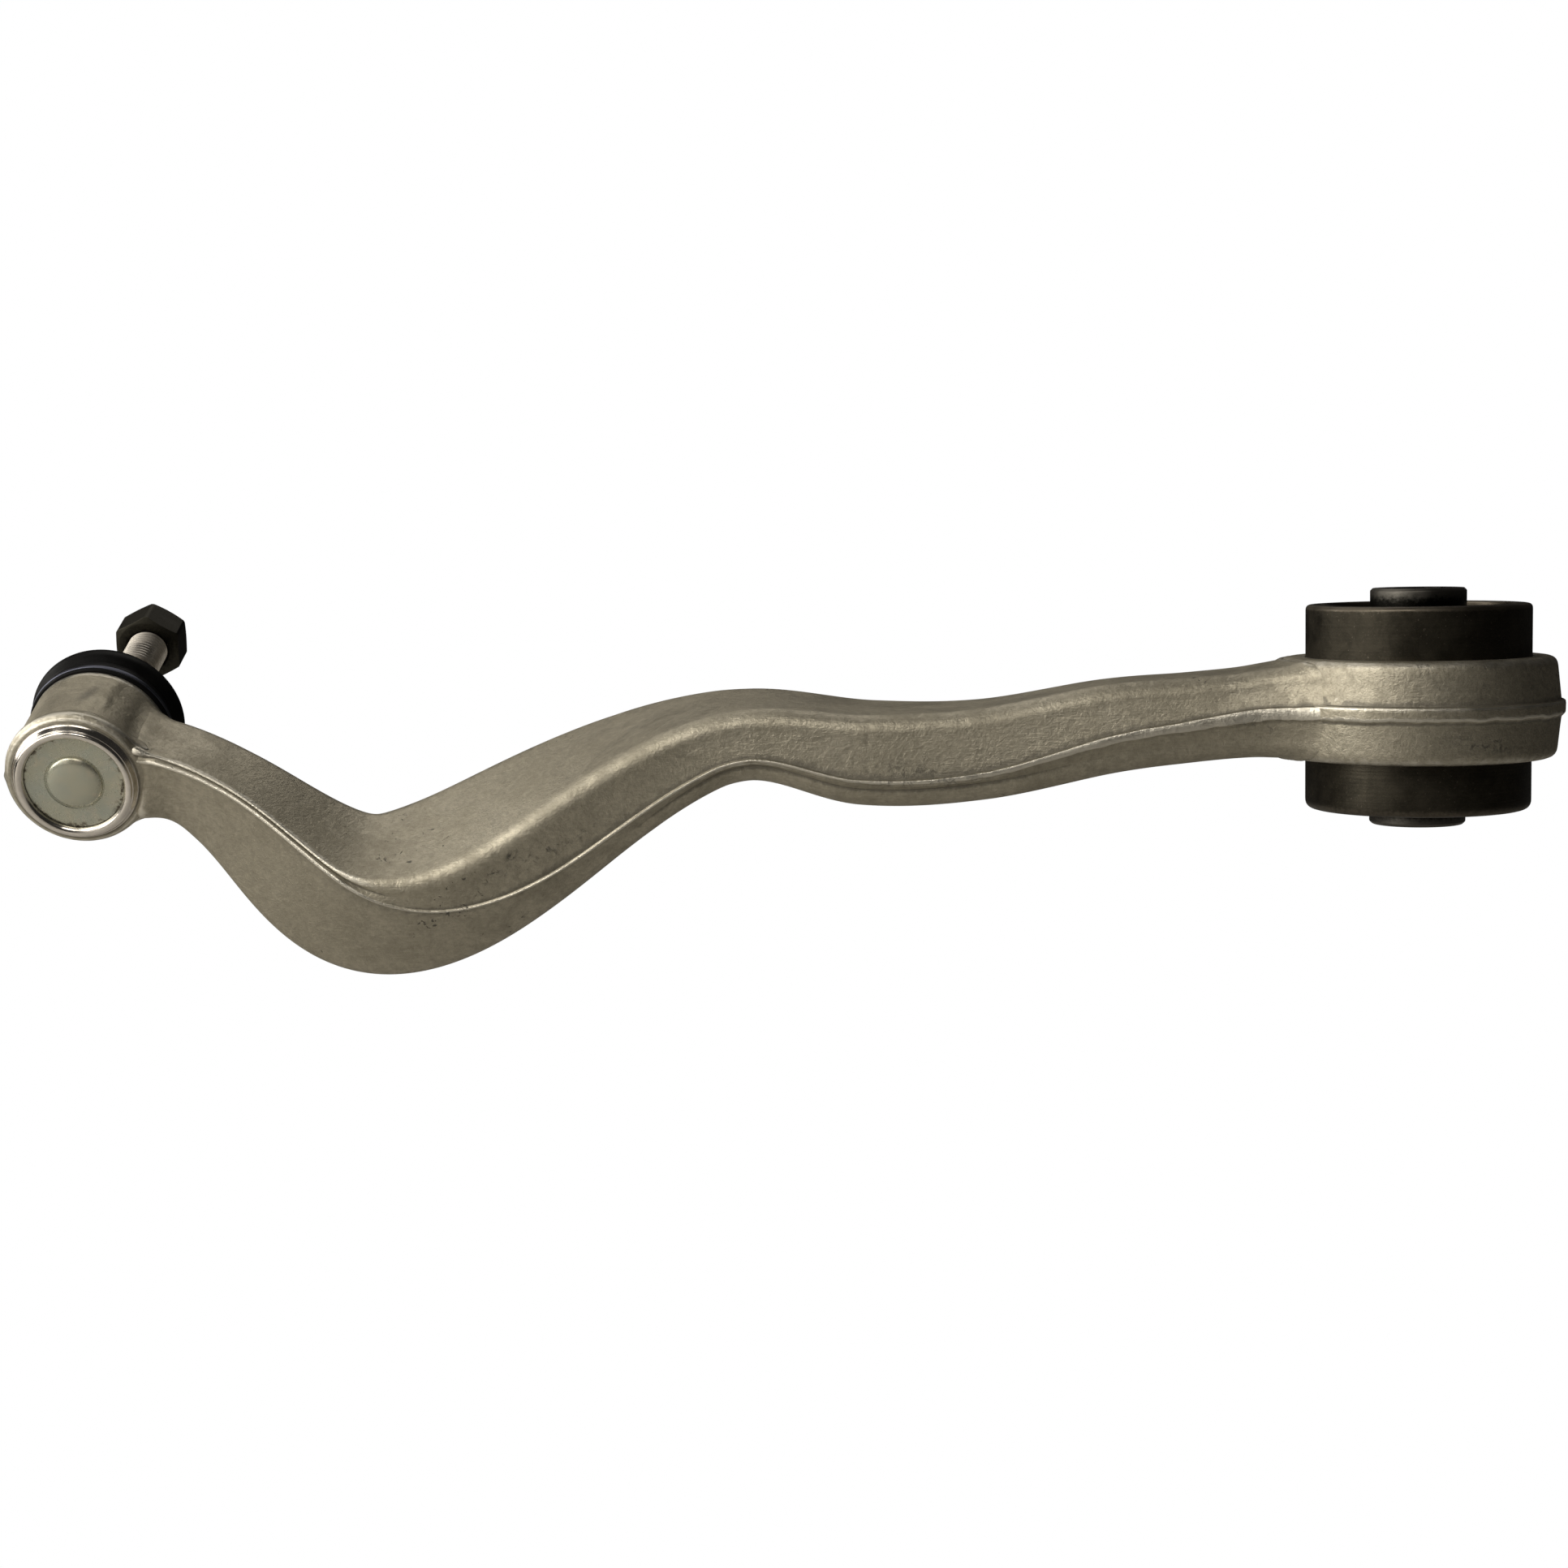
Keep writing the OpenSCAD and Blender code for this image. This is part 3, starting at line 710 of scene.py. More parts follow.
def holdEnds(verts):
    # both ends stop inside the wall that they join, so that the cavity and the bore stay open
    shape = armShape
    local = fromFrame(verts, ballFrame)
    radius = np.hypot(local[:, 0], local[:, 1])
    near = (verts[:, 0] < armStations[2][0]) & (radius < shape["housingHold"])
    push = np.where(near, shape["housingHold"] / np.maximum(radius, 0.5), 1)
    local[:, 0] *= push
    local[:, 1] *= push
    verts = toFrame(local, ballFrame)
    radius = np.hypot(verts[:, 0], verts[:, 1])
    push = np.where((verts[:, 0] > -60) & (radius < shape["eyeHold"]),
                    shape["eyeHold"] / np.maximum(radius, 0.5), 1)
    verts[:, 0] *= push
    verts[:, 1] *= push
    return verts


eyeShape = {"outer": 37.6, "bore": 30.0, "half": 13.6, "edge": 2.6, "draft": 1.2, "land": 1.15}


def eyeShell():
    s = eyeShape
    top, wall = s["half"], s["outer"] - s["draft"]
    corners = [
        (s["bore"], -top, 0.6), (s["bore"], top, 0.6), (wall, top, s["edge"]), (s["outer"], 2.1, 0.2),
        (s["outer"] + s["land"] * 0.9, 1.7, 0.25), (s["outer"] + s["land"], 0.9, 0.3),
        (s["outer"] + s["land"] * 0.92, -1.2, 0.3), (s["outer"] + s["land"] * 0.7, -1.7, 0.3),
        (s["outer"], -2.5, 0.5), (wall, -top, s["edge"]),
    ]

    def uneven(angle, radius, height):
        if radius < s["outer"] - 0.4:
            return radius, height
        ring = angle * s["outer"]
        fade = max(0.0, 1 - abs(height + 0.4) / 4.5)
        if height < 0:
            height += fade * (0.55 * waver(ring, 31) + 0.5 * waver(ring * 2.2, 37))
        else:
            height += fade * 0.14 * waver(ring * 1.7, 41)
        return min(radius + fade * 0.1 * waver(ring * 2, 43), s["outer"] + 1.18), height

    return turned(filled(softened(corners), 1.3), 232, uneven)[:2]


housingShape = {"stubHeight": 0.7, "stubWidth": 0.06, "stubsAt": (0.10, math.pi + 0.03),
                "drum": 19.6, "drumFrom": -14.4, "drumTo": 13.2}


def housingShell():
    s = housingShape
    corners = [
        (14.1, -16, 0.15), (14.1, -16.8, 0.3), (14.7, -17.6, 0.4), (15.5, -17.9, 0.4), (16.15, -17.7, 0.3),
        (16.55, -17.05, 0.12), (16.75, -17.0, 0.12), (17.25, -16.1, 0.25), (17.5, -15.65, 0.2),
        (18.05, -15.15, 0.5), (19.1, -14.8, 0.6), (20, -13.8, 0.8), (20.35, -12.6, 0.8), (20, -11.2, 0.9),
        (19.45, -9.8, 1.5), (19.6, 2, 2), (19.8, 13.4, 0.15), (18.6, 13.4), (18.6, 17), (19.4, 17, 0.1),
        (19.4, 17.5, 0.25), (18.9, 18, 0.25), (16.2, 18, 0.3), (11.4, 9.6, 0.3), (16.3, 4), (16.3, -13.8),
        (16.5, -13.8), (16.5, -16),
    ]

    def stubs(angle, radius, height):
        if radius < 19.2 or height > -8:
            return radius, height
        grow = 0
        for at in s["stubsAt"]:
            away = (angle - at + math.pi) % (2 * math.pi) - math.pi
            grow += math.exp(-(away / s["stubWidth"]) ** 2)
        band = max(0.0, 1 - abs(height + 11.6) / 3.4)
        uneven = 0.08 * waver(angle * 40, 51)
        return radius + band * (grow * s["stubHeight"] + uneven), height

    verts, faces, _ = turned(filled(softened(corners), 1.2), 208, stubs)
    polished = []
    for face in faces:
        middle = verts[list(face)].mean(0)
        radius = math.hypot(middle[0], middle[1])
        polished.append(1 if middle[2] < -15.3 and 13.9 < radius < 17.75 else 0)
    return toFrame(verts, ballFrame), faces, polished


def meshFacts(verts, faces):
    mesh = bpy.data.meshes.new("probe")
    mesh.from_pydata(verts.tolist(), [], faces)
    normals, edges = normalsAndEdges(mesh)
    bpy.data.meshes.remove(mesh)
    normals = smoothed(normals, edges, 4)
    return normals / np.maximum(np.linalg.norm(normals, axis=1), 1e-6)[:, None], edges


def drumGap(matrix, radius, low, high):
    # signed distance to a plain drum, and the way its surface faces
    def distance(points):
        local = fromFrame(points, matrix)
        side = np.hypot(local[:, 0], local[:, 1]) - radius
        end = np.maximum(local[:, 2] - high, low - local[:, 2])
        return np.hypot(np.maximum(side, 0), np.maximum(end, 0)) + np.minimum(np.maximum(side, end), 0)

    def gapOf(points):
        steps = [distance(points + np.eye(3)[k] * 0.4) - distance(points - np.eye(3)[k] * 0.4)
                 for k in range(3)]
        return distance(points), np.array(steps).T / 0.8
    return gapOf


def shellGap(verts, faces):
    tree = BVHTree.FromPolygons([Vector(v) for v in verts], faces)

    def gapOf(points):
        gaps, ways = [], []
        for p in points:
            spot, facing, _, away = tree.find_nearest(Vector(p))
            gaps.append(away if (Vector(p) - spot).dot(facing) >= 0 else -away)
            ways.append(tuple(facing))
        return np.array(gaps), np.array(ways)
    return gapOf


filletSizes = {"eye": 3.0, "housing": 13.0, "near": 15, "most": 0.36, "grooveFade": 4, "rimAt": -15,
               "rimFade": 3,
               "merge": 0.8, "split": -200, "eyeBefore": -4, "eyeOutside": 33, "drumOutside": 18.7}


def filletLift(verts, normals, edges, gapOf, reach, keep):
    # how far each point rises along its normal so that two surfaces run together smoothly
    near = np.where(keep > 0)[0]
    gap, facing = gapOf(verts[near])
    close = np.abs(gap) < filletSizes["near"]
    near, gap, facing = near[close], gap[close], facing[close]
    point, normal, first = verts[near], normals[near], gap
    k = reach[near] * np.clip(1 - np.maximum(0, (facing * normal).sum(1)), 0.03, 1)
    lift = np.zeros(len(near))
    for _ in range(7):
        gap, _facing = gapOf(point + normal * lift[:, None])
        part = np.maximum(k - np.abs(lift - gap), 0) / k
        merged = np.minimum(lift, gap) - part * part * k / 4
        lift = np.clip(lift - merged * filletSizes["merge"], 0, filletSizes["most"] * k)
    result = np.zeros(len(verts))
    result[near] = lift * keep[near] * np.clip((first + 4.5) / 3.5, 0, 1)
    return smoothed(result, edges, 3)[:, None] * normals




def meetSmoothly(eye, arm, housing):
    eyeNormal, eyeEdges = meshFacts(*eye)
    armNormal, armEdges = meshFacts(*arm)
    housingNormal, housingEdges = meshFacts(*housing)
    toEye = drumGap(restFrame, eyeShape["outer"] - 0.4, -eyeShape["half"], eyeShape["half"])
    shape = housingShape
    toHousing = drumGap(ballFrame, shape["drum"], shape["drumFrom"], shape["drumTo"])
    toArm = shellGap(*arm)

    def housingKeep(verts):
        # no fillet at the boot's groove or on the rolled rim
        local = fromFrame(verts, ballFrame)[:, 2]
        belowGroove = np.clip((shape["drumTo"] - local) / filletSizes["grooveFade"], 0, 1)
        return belowGroove * np.clip((local - filletSizes["rimAt"]) / filletSizes["rimFade"], 0, 1)

    eyeVerts, armVerts, housingVerts = eye[0], arm[0], housing[0]
    toBall = armVerts[:, 0] < filletSizes["split"]  # the half of the arm on the ball joint's side
    wide, narrow = (np.full(len(armVerts), filletSizes[key]) for key in ("housing", "eye"))
    shift = filletLift(armVerts, armNormal, armEdges, toHousing, wide,
                       np.where(toBall, housingKeep(armVerts), 0.0))
    shift += filletLift(armVerts, armNormal, armEdges, toEye, narrow, np.where(toBall, 0.0, 1.0))
    fromBore = np.hypot(eyeVerts[:, 0], eyeVerts[:, 1])
    eyeKeep = (eyeVerts[:, 0] < filletSizes["eyeBefore"]) & (fromBore > filletSizes["eyeOutside"])
    eyeKeep = eyeKeep.astype(float)
    eyeShift = filletLift(eyeVerts, eyeNormal, eyeEdges, toArm, np.full(len(eyeVerts), filletSizes["eye"]),
                          eyeKeep)
    local = fromFrame(housingVerts, ballFrame)
    outside = np.hypot(local[:, 0], local[:, 1]) > filletSizes["drumOutside"]
    housingShift = filletLift(housingVerts, housingNormal, housingEdges, toArm,
                              np.full(len(local),
                                      filletSizes["housing"]), housingKeep(housingVerts) * outside)
    return eyeVerts + eyeShift, holdEnds(armVerts + shift), housingVerts + housingShift


armVerts, armFaces = armShell()
eyeVerts, eyeFaces = eyeShell()
housingVerts, housingFaces, polished = housingShell()
print("forging drawn:", len(armFaces), len(eyeFaces), len(housingFaces), "faces")
shapedVerts = meetSmoothly((eyeVerts, eyeFaces), (armVerts, armFaces), (housingVerts, housingFaces))
allVerts, allFaces, slotOf = [], [], []
start = 0
for verts, faces, marks in zip(shapedVerts, (eyeFaces, armFaces, housingFaces), (None, None, polished)):
    allVerts.append(verts)
    allFaces += [tuple(v + start for v in face) for face in faces]
    slotOf += marks or [0] * len(faces)
    start += len(verts)
forging = asPiece("forgedArm", np.concatenate(allVerts), allFaces, [skin, rim], slotOf, 40)
standsFor(forging, "arm", "arm_forging")
print("forging joined")


coverShape = {"radius": 16.45, "face": -16.0, "back": -13.85, "buttonRadius": 7.9, "buttonRise": 1.7}


def closingCover():
    s = coverShape
    dome = []
    for k in range(15):
        angle = math.radians(6 + 84 * k / 14)
        part = math.sin(angle)
        rise = s["buttonRise"] * (1 - part ** 3) ** 0.55
        dome.append((s["buttonRadius"] * part, s["face"] - 0.05 - rise))
    dome[0] = (0.0, dome[0][1])
    corners = dome + [
        (s["buttonRadius"] + 0.12, s["face"] + 0.16), (s["buttonRadius"] + 0.3, s["face"] + 0.16),
        (s["buttonRadius"] + 0.5, s["face"]), (s["radius"] - 0.4, s["face"]), (s["radius"], s["face"] + 0.3),
        (s["radius"], s["back"]), (0.0, s["back"]),
    ]
    outline = filled(corners, 0.9, closed=False)
    verts, faces, _ = turned(outline, 160, closed=False)
    return asPiece("closingCover", verts, faces, [plate], sharp=30, matrix=ballFrame)


standsFor(closingCover(), "arm", "cover_plate")

studShape = {
    "ball": 13.45, "ballFlat": -13.0, "neck": 6.2, "flange": 8.6, "collar": 8.0, "collarTo": 38.0,
    "taperTo": 51.0, "taperEnd": 6.8, "core": 5.12, "thread": 6.0, "pitch": 1.5, "threadFrom": 54.0,
    "tip": 85.0,
}


def ballStud():
    s = studShape
    start = math.asin(math.sqrt(s["ball"] ** 2 - s["ballFlat"] ** 2) / s["ball"])
    end = math.pi - math.asin(s["neck"] / s["ball"])
    ball = []
    for k in range(41):
        angle = start + (end - start) * k / 40
        ball.append((s["ball"] * math.sin(angle), -s["ball"] * math.cos(angle)))
    shank = softened([
        (s["neck"], ball[-1][1] + 0.8, 0.5), (s["neck"], 15, 2), (s["flange"], 22, 1), (s["flange"], 24, 0.5),
        (s["collar"], 26, 0.8), (s["collar"], s["collarTo"], 0.6), (s["taperEnd"], s["taperTo"], 0.4),
        (s["core"], s["taperTo"] + 0.8, 0.3), (s["core"], s["tip"] - 1.2, 0.1),
        (s["core"] - 0.7, s["tip"] - 0.1, 0.2), (s["core"] - 1.1, s["tip"], 0.1), (2.4, s["tip"], 0.1),
        (2.1, s["tip"] - 0.35, 0.1), (0.6, s["tip"] - 0.5, 0.1),
    ])
    outline = [(0.0, s["ballFlat"])] + ball + shank[2:] + [(0.0, s["tip"] - 0.5)]
    verts, faces, _ = turned(filled(outline, 2.0, closed=False), 144, closed=False)
    return asPiece("ballStud", verts, faces, [studSteel], sharp=32, matrix=ballFrame)


standsFor(ballStud(), "stud", "ball_stud")


def helixTree(material):
    # a thread: one profile swept along a rising spiral and faded out at both ends
    tree = bpy.data.node_groups.new("rolledThread", "GeometryNodeTree")
    labels = [("Core Radius", 5.0), ("Depth", 0.9), ("Pitch", 1.5), ("Length", 30.0), ("Crest", 0.2),
              ("Steps", 72)]
    for label, value in labels:
        kind = "NodeSocketInt" if label == "Steps" else floatKind
        tree.interface.new_socket(label, in_out="INPUT", socket_type=kind).default_value = value
    tree.interface.new_socket("Mesh", in_out="OUTPUT", socket_type="NodeSocketGeometry")
    into, out = tree.nodes.new("NodeGroupInput"), tree.nodes.new("NodeGroupOutput")

    core, length = into.outputs["Core Radius"], into.outputs["Length"]
    turns = math2(tree, "DIVIDE", length, into.outputs["Pitch"])
    spiral = addNode(tree, "GeometryNodeCurveSpiral", Resolution=into.outputs["Steps"], Rotations=turns,
                     Start_Radius=core, End_Radius=core, Height=length, Reverse=True)  # right-handed
    upright = addNode(tree, "GeometryNodeSetCurveNormal", {"mode": "Z_UP"}, Curve=spiral.outputs[0])
    along = addNode(tree, "GeometryNodeSplineParameter").outputs["Factor"]
    fadeIn = times(tree, times(tree, along, turns), 1.3)
    fadeOut = times(tree, times(tree, minus(tree, 1.0, along), turns), 1.3)
    fade = math2(tree, "MINIMUM", math2(tree, "MINIMUM", fadeIn, fadeOut), 1.0)
    sized = addNode(tree, "GeometryNodeSetCurveRadius", Curve=upright.outputs[0],
                    Radius=math2(tree, "MAXIMUM", fade, 0.04))
    # trapezoid profile: point 0 and 3 at the root, 1 and 2 at the crest
    profile = addNode(tree, "GeometryNodeCurvePrimitiveQuadrilateral", {"mode": "POINTS"})
    rootHalf = times(tree, into.outputs["Pitch"], 0.44)
    depth, crest = into.outputs["Depth"], into.outputs["Crest"]
    corners = [(-0.15, rootHalf, 1), (depth, crest, 0.5), (depth, crest, -0.5), (-0.15, rootHalf, -1)]
    for i, (x, y, sign) in enumerate(corners):
        point = addNode(tree, "CombineXYZ", X=x, Y=times(tree, y, sign))
        tree.links.new(point.outputs[0], profile.inputs[f"Point {i + 1}"])
    swept = addNode(tree, "GeometryNodeCurveToMesh", Curve=sized.outputs[0], Profile_Curve=profile.outputs[0],
                    Fill_Caps=True)
    real = addNode(tree, "GeometryNodeRealizeInstances", Geometry=swept.outputs[0])
    finish = addNode(tree, "GeometryNodeSetMaterial", Geometry=real.outputs[0], Material=material)
    tree.links.new(finish.outputs[0], out.inputs[0])
    return tree


def grown(name, tree, values, matrix, sharp=30):
    # runs a Geometry Nodes tree once and keeps its result as a plain mesh in its place
    seedMesh = bpy.data.meshes.new(name + "Seed")
    holder = bpy.data.objects.new(name + "Seed", seedMesh)
    bpy.context.collection.objects.link(holder)
    modifier = holder.modifiers.new("grow", "NODES")
    modifier.node_group = tree
    for item in tree.interface.items_tree:
        if item.item_type == "SOCKET" and item.in_out == "INPUT" and item.name in values:
            modifier[item.identifier] = values[item.name]
    graph = bpy.context.evaluated_depsgraph_get()
    mesh = bpy.data.meshes.new_from_object(holder.evaluated_get(graph), depsgraph=graph)
    holder.modifiers.clear()
    bpy.data.objects.remove(holder)
    mesh.transform(Matrix.Diagonal((mm, mm, mm, 1)) @ matrix)
    mesh.name = name
    co = np.array([v.co for v in mesh.vertices])
    faces = [tuple(p.vertices) for p in mesh.polygons]
    if volumeOf(co / mm, faces) < 0:
        mesh.flip_normals()
    return finishMesh(name, mesh, sharp)


s = studShape
threadFrame = ballFrame @ Matrix.Translation((0, 0, s["threadFrom"] - 0.4))
studThread = grown("studThread", helixTree(studSteel), {
    "Core Radius": s["core"], "Depth": s["thread"] - s["core"], "Pitch": s["pitch"],
    "Length": s["tip"] - s["threadFrom"] - 0.9, "Crest": 0.22, "Steps": 72,
}, threadFrame)
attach(studThread, "stud")
print("stud and thread made:", len(studThread.data.polygons), "thread faces")

nutShape = {"acrossFlats": 19.0, "height": 11.5, "from": 69.5, "turn": 34.0, "hole": 5.32,
            "holeChamfer": 6.75,
            "faceRadius": 9.05, "slope": 0.52}


def stemNut():
    s = nutShape
    turns = 216
    low, high = s["from"], s["from"] + s["height"]
    columns = []
    for j in range(turns):
        angle = 2 * math.pi * j / turns
        fromCorner = (angle - math.radians(s["turn"]) + math.pi / 6) % (math.pi / 3) - math.pi / 6
        # distance to the flats, with the six corners slightly rounded
        reach = s["acrossFlats"] / 2 / math.cos(math.pi / 6 - abs(fromCorner))
        reach = min(reach, s["acrossFlats"] / 2 / math.cos(math.pi / 6) - 0.22)
        drop = (reach - s["faceRadius"]) * s["slope"]
        face = s["faceRadius"]
        columns.append([
            (s["hole"], low + 1.2), (s["holeChamfer"], low), (face - 0.25, low), (face, low + 0.1),
            (reach - 0.12, low + drop), (reach, low + drop + 0.15), (reach, high - drop - 0.15),
            (reach - 0.12, high - drop), (face, high - 0.1), (face - 0.25, high), (s["holeChamfer"], high),
            (s["hole"], high - 1.2),
        ])
    steps = len(columns[0])
    verts = np.array([spun(*columns[j][i], 2 * math.pi * j / turns)
                      for i in range(steps) for j in range(turns)])
    faces = outward(verts, [bandFace(i, j, steps, turns) for i in range(steps) for j in range(turns)])
    return asPiece("stemNut", verts, faces, [nutBlack], sharp=22, matrix=ballFrame)


standsFor(stemNut(), "stud", "stud_nut")

bootShape = {"foot": 13.45, "bulge": 22.2, "neck": 10.6, "blendFrom": 17.6, "blendTo": 31.5}


def dustBoot():
    s = bootShape
    corners = [
        (18.62, s["foot"], 0.1), (20.3, s["foot"], 0.4), (20.7, 13.95, 0.3), (20.7, 14.55, 0.12),
        (19.9, 14.6, 0.1), (19.9, 16.2, 0.1), (20.7, 16.25, 0.12), (20.75, 17.5, 0.5), (20.35, 18.6, 0.6),
        (21.0, 19.5, 0.5), (21.95, 20.9, 0.9), (s["bulge"], 22.8, 1.2), (21.6, 25, 1.3), (19.6, 27.4, 1.6),
        (16.6, 29.4, 1.8), (13, 30.9, 1.2), (11.2, 31.6, 0.5), (s["neck"], 32.4, 0.3), (9.9, 32.8, 0.15),
        (9.9, 34.4, 0.15), (s["neck"], 34.7, 0.3), (s["neck"], 36.6, 0.4), (9.02, 36.6, 0.2),
        (9.02, 30, 0.4), (12.6, 29, 1.4), (16, 27.5, 1.4), (18.4, 25.7, 1.2), (20.1, 23.6, 1),
        (20.1, 21.8, 0.9), (18.9, 19.9, 0.6), (19.45, 18.5, 0.5), (19.45, 17.02, 0.1), (18.62, 17.02, 0.1),
    ]
    verts, faces, _ = turned(filled(softened(corners, 4), 0.8), 176)
    piece = asPiece("dustBoot", verts, faces, [bootRubber], sharp=60, matrix=ballFrame)
    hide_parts("dust_boot")
    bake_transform(piece)


dustBoot()


def roundRing(name, corners, material, matrix, turns=144, steps=5, longest=2.5):
    verts, faces, _ = turned(filled(softened(corners, steps), longest), turns)
    return asPiece(name, verts, faces, [material], matrix=matrix)


# corners of each small ring, its material, the body that carries it and the node it stands for
smallRings = {
    "bootFootRing": ([(19.95, 14.65, 0.25), (20.9, 14.65, 0.4), (20.9, 16.15, 0.4), (19.95, 16.15, 0.25)],
                     ringSteel, "arm", "boot_housing_ring"),
    "bootNeckRing": ([(9.95, 32.95, 0.2), (11.1, 32.95, 0.4), (11.1, 34.25, 0.4), (9.95, 34.25, 0.2)],
                     ringSteel, "collar", "boot_stud_ring"),
    "bootSlideRing": ([(8.05, 30.4, 0.15), (8.98, 30.4, 0.2), (8.98, 36.65, 0.1), (9.8, 36.65, 0.2),
                       (9.8, 37.6, 0.3), (8.05, 37.6, 0.15)], filledPlastic, "collar", "boot_seal_ring"),
}
for name, (corners, material, body, node) in smallRings.items():
    standsFor(roundRing(name, corners, material, ballFrame), body, node)
print("ball joint made")


canShape = {"radius": 30.0, "inner": 27.8, "half": 27.7, "lip": 24.8, "lipThickness": 1.8, "foot": 3.1,
            "top": 1.5}


def bushingCan():
    s = canShape
    h, t = s["half"], s["lipThickness"]
    corners = [
        (s["lip"], h - t, 0.4), (s["lip"], h, 0.7), (s["radius"], h, s["top"]), (s["radius"], -h, s["foot"]),
        (s["lip"], -h, 0.7), (s["lip"], t - h, 0.4), (s["inner"], t - h, 0.5), (s["inner"], h - t, 0.5),
    ]
    return roundRing("bushingCan", corners, canSteel, restFrame, 224, 7, longest=2.2)


standsFor(bushingCan(), "arm", "bushing_can")

sleeveShape = {"radius": 12.8, "bore": 6.1, "half": 32.0, "bevel": 0.7}


def boltSleeve():
    s = sleeveShape
    r, h, b = s["radius"], s["half"], s["bevel"]
    corners = [(s["bore"], b - h), (s["bore"] + b, -h), (r - b, -h, 0.15), (r, b - h, 0.2),
               (r, h - b, 0.2), (r - b, h, 0.15), (s["bore"] + b, h), (s["bore"], h - b)]
    return roundRing("boltSleeve", corners, sleeveSteel, restFrame, 160, 3, longest=2.2)


standsFor(boltSleeve(), "core", "bushing_sleeve")

rubberShape = {"inner": 12.85, "outer": 26.05, "half": 26.6, "waist": 21.8, "chamberHalf": 48,
               "chamberHeight": 32}


def bushingRubber():
    # two chambers pass right through the wall, one towards the ball joint and one away from it
    s = rubberShape
    turns, half = 240, s["chamberHeight"] / 2
    end = [
        (s["inner"], s["half"], 0.2), (13.6, s["half"], 0.5), (14.9, 25.3, 0.8), (18, 22.6, 1.5),
        (20.5, s["waist"], 1.2), (23.4, 23.0, 0.8), (24.8, 24.6, 0.4), (25.9, 24.6, 0.2),
        (s["outer"], 24.2, 0.2),
    ]
    top = softened([(s["inner"], half)] + end + [(s["outer"], half)], 4)
    count = len(top)
    outline = top + [(r, -z) for r, z in reversed(top)]
    rings = len(outline)
    verts = np.array([spun(r, z, 2 * math.pi * j / turns) for r, z in outline for j in range(turns)])
    openOuter, openInner = count - 1, rings - 1  # the two straight wall bands between the chamber's heights
    hole = round(turns * s["chamberHalf"] / 360)
    faces = []

    def inHole(j):
        return (j + hole) % turns < 2 * hole or (j + hole - turns // 2) % turns < 2 * hole

    for i in range(rings):
        for j in range(turns):
            if i not in (openOuter, openInner) or not inHole(j):
                faces.append(bandFace(i, j, rings, turns))
    outTop, outLow, inLow, inTop = openOuter * turns, (openOuter + 1) * turns, openInner * turns, 0
    for j in range(turns):
        k = (j + 1) % turns
        if inHole(j):
            faces.append((inTop + j, inTop + k, outTop + k, outTop + j)[::-1])
            faces.append((outLow + j, outLow + k, inLow + k, inLow + j)[::-1])
            if not inHole((j - 1) % turns):
                faces.append((inTop + j, outTop + j, outLow + j, inLow + j))
            if not inHole(k):
                faces.append((outTop + k, inTop + k, inLow + k, outLow + k))
    return asPiece("bushingRubber", verts, outward(verts, faces), [bushRubber], sharp=40)


standsFor(bushingRubber(), "arm", "bushing_rubber")

# inner pieces keep their own shapes and take finishes
innerFinishes = {
    "ball_seat": seatPlastic, "seat_preload_ring": bushRubber, "bushing_cage": pressedSteel,
    "channel_half_outer": filledPlastic, "channel_half_inner": filledPlastic,
    "bump_stop_outer": stopPlastic, "bump_stop_inner": stopPlastic,
    "end_shield_top": canSteel, "end_shield_bottom": canSteel,
}
for name, material in innerFinishes.items():
    mesh = frame["nodes"][name].data
    mesh.materials.clear()
    mesh.materials.append(material)
print("bushing made")


viewpoint = {"location": (-0.1063, -0.7537, 0.0504), "turn": (84.68, 0.905, 4.98), "lens": 62.8}
camera = bpy.data.objects.new("camera", bpy.data.cameras.new("camera"))
camera.location = viewpoint["location"]
camera.rotation_euler = [math.radians(a) for a in viewpoint["turn"]]
camera.data.lens = viewpoint["lens"]
camera.data.sensor_width = 36
camera.data.clip_end = 100
bpy.context.collection.objects.link(camera)
bpy.context.scene.camera = camera

lamps = {
    # name: location, aim, width, depth, power, colour
    "key": ((-1.25, -0.55, 0.30), (-0.15, 0, 0), 0.5, 0.7, 5.4, (1.0, 0.965, 0.90)),
    "front": ((-0.92, -1.0, 0.16), (-0.15, 0, 0), 0.5, 0.7, 1.0, (1.0, 0.96, 0.89)),
    "high": ((-0.95, -0.8, 0.8), (-0.15, 0, 0), 0.5, 0.5, 4.4, (1.0, 0.96, 0.89)),
    "above": ((-0.3, -1.1, 0.9), (-0.15, 0, 0), 0.5, 0.5, 3.0, (1.0, 0.955, 0.88)),
    "overhead": ((-0.5, 0.4, 1.0), (-0.2, 0, 0), 1.3, 0.7, 3.0, (1.0, 0.96, 0.90)),
    "side": ((-1.3, 0.2, 0.35), (-0.2, 0, 0), 0.6, 0.6, 3.6, (1.0, 0.965, 0.90)),
}
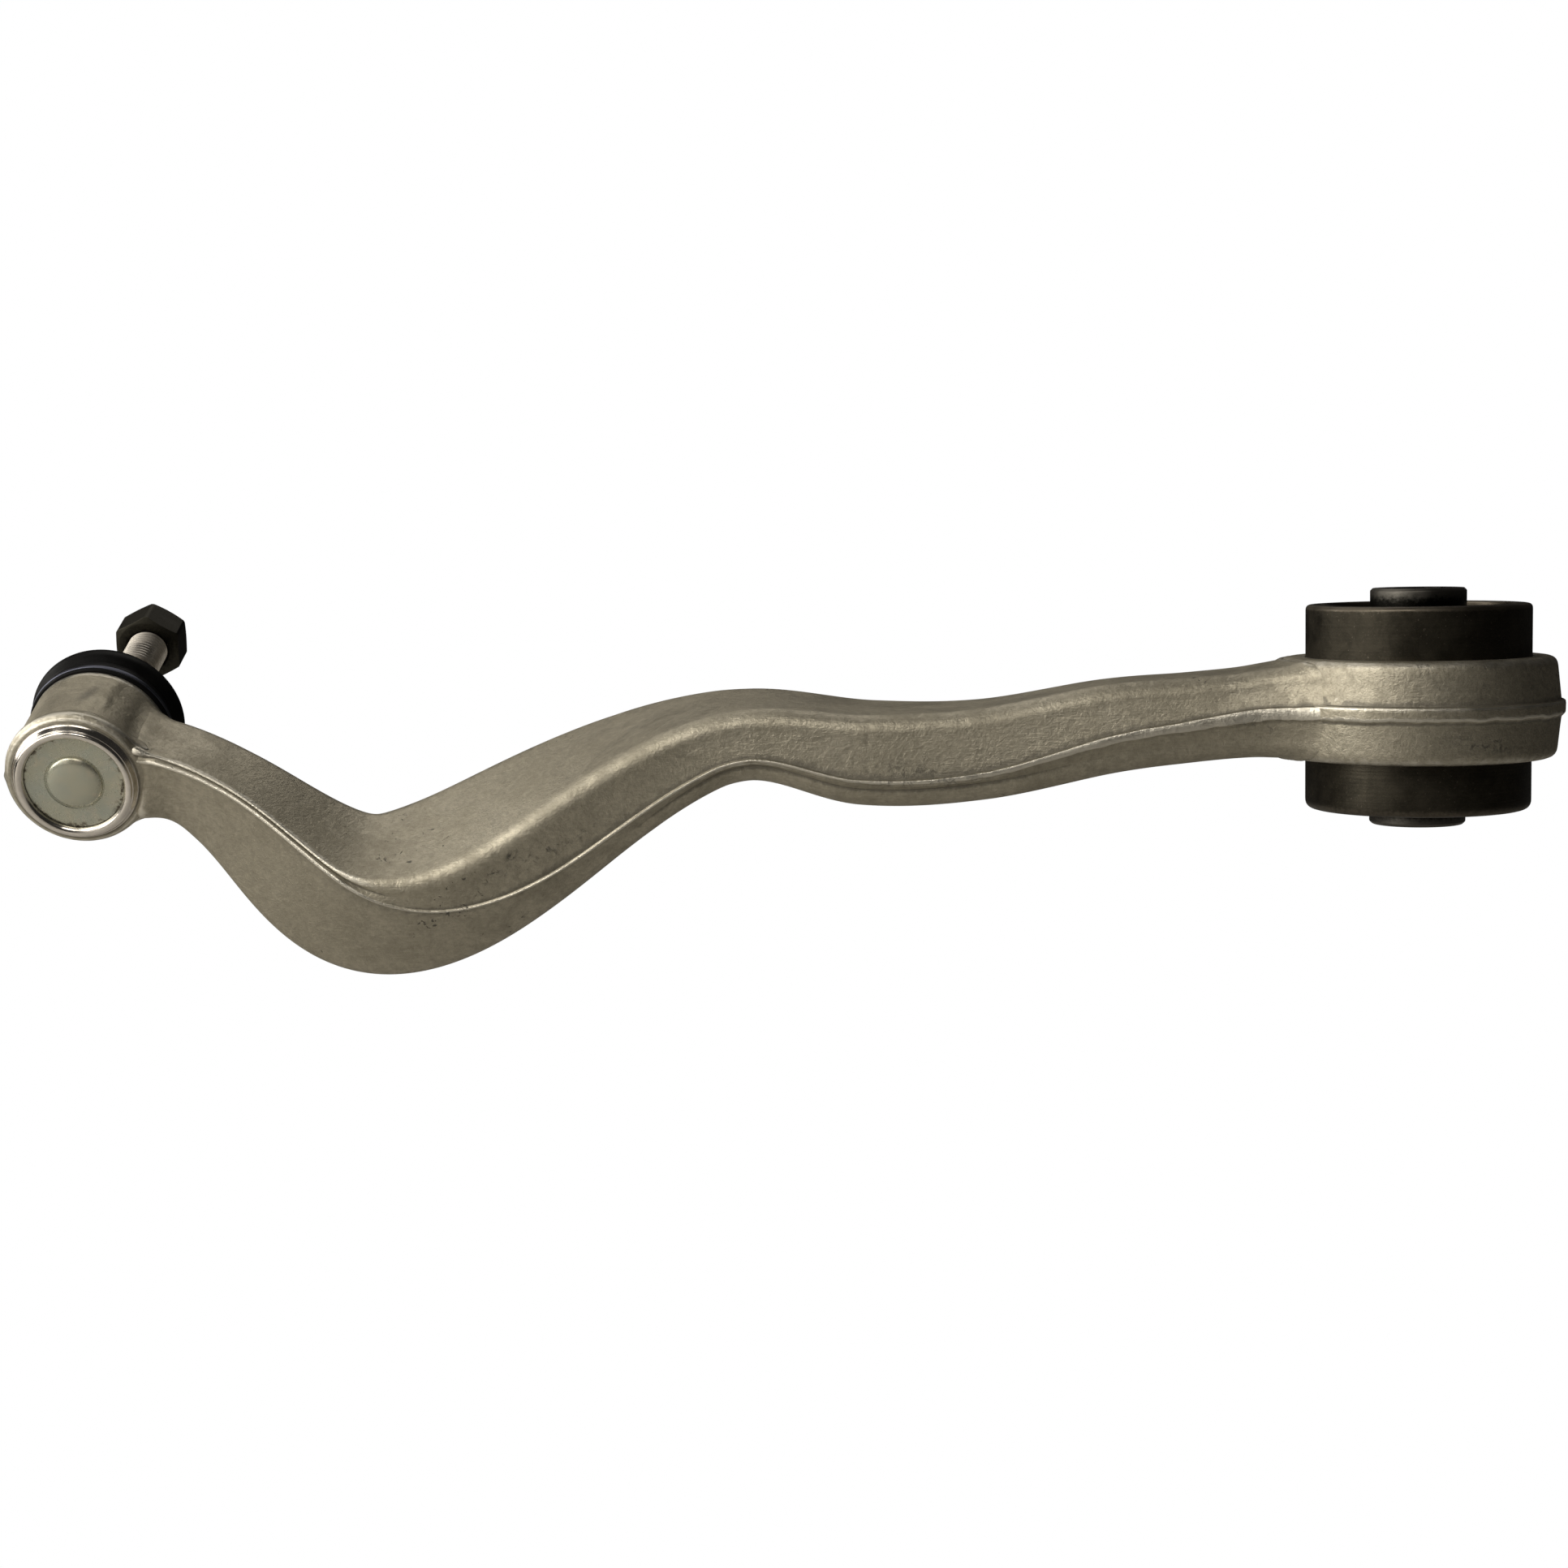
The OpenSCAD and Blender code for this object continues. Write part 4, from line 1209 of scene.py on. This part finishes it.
for name, (location, aim, width, depth, power, tint) in lamps.items():
    light = bpy.data.lights.new(name, "AREA")
    light.shape, light.size, light.size_y, light.energy, light.color = "RECTANGLE", width, depth, power, tint
    lamp = bpy.data.objects.new(name, light)
    lamp.location = location
    lamp.rotation_euler = (Vector(aim) - Vector(location)).to_track_quat("-Z", "Y").to_euler()
    bpy.context.collection.objects.link(lamp)


def seenAs(tree, usual, pale, target):
    # camera rays meet the pale shader, and all other rays the usual one
    mixer = tree.nodes.new("ShaderNodeMixShader")
    tree.links.new(tree.nodes.new("ShaderNodeLightPath").outputs["Is Camera Ray"], mixer.inputs[0])
    tree.links.new(usual.outputs[0], mixer.inputs[1])
    tree.links.new(pale.outputs[0], mixer.inputs[2])
    tree.links.new(mixer.outputs[0], target.inputs[0])


room = {"seen": (1.0, 1.0, 1.0), "fill": (0.92, 0.90, 0.86), "fillStrength": 0.022,
        "floorAt": -0.30, "floorSize": 40, "floorTone": (0.5, 0.49, 0.47), "floorRough": 0.9}
world = bpy.data.worlds.new("studio")
bpy.context.scene.world = world
world.use_nodes = True
tree = world.node_tree
tree.nodes.clear()
fill = addNode(tree, "Background", Color=(*room["fill"], 1), Strength=room["fillStrength"])
pale = addNode(tree, "Background", Color=(*room["seen"], 1))
seenAs(tree, fill, pale, tree.nodes.new("ShaderNodeOutputWorld"))

half, level = room["floorSize"] / 2, room["floorAt"]
floorMesh = bpy.data.meshes.new("paleFloor")
floorMesh.from_pydata([(-half, -half, level), (half, -half, level), (half, half, level),
                       (-half, half, level)], [],
                      [(0, 1, 2, 3)])
floorPaint = bpy.data.materials.new("floorPaint")
floorPaint.use_nodes = True
tree = floorPaint.node_tree
shader = tree.nodes["Principled BSDF"]
shader.inputs["Base Color"].default_value = (*room["floorTone"], 1)
shader.inputs["Roughness"].default_value = room["floorRough"]
glow = addNode(tree, "Emission", Color=(*room["seen"], 1))
seenAs(tree, shader, glow, tree.nodes["Material Output"])
floorMesh.materials.append(floorPaint)
floor = bpy.data.objects.new("paleFloor", floorMesh)
bpy.context.collection.objects.link(floor)
bpy.context.scene.view_settings.view_transform = "Standard"
print("studio ready")

bpy.context.view_layer.update()
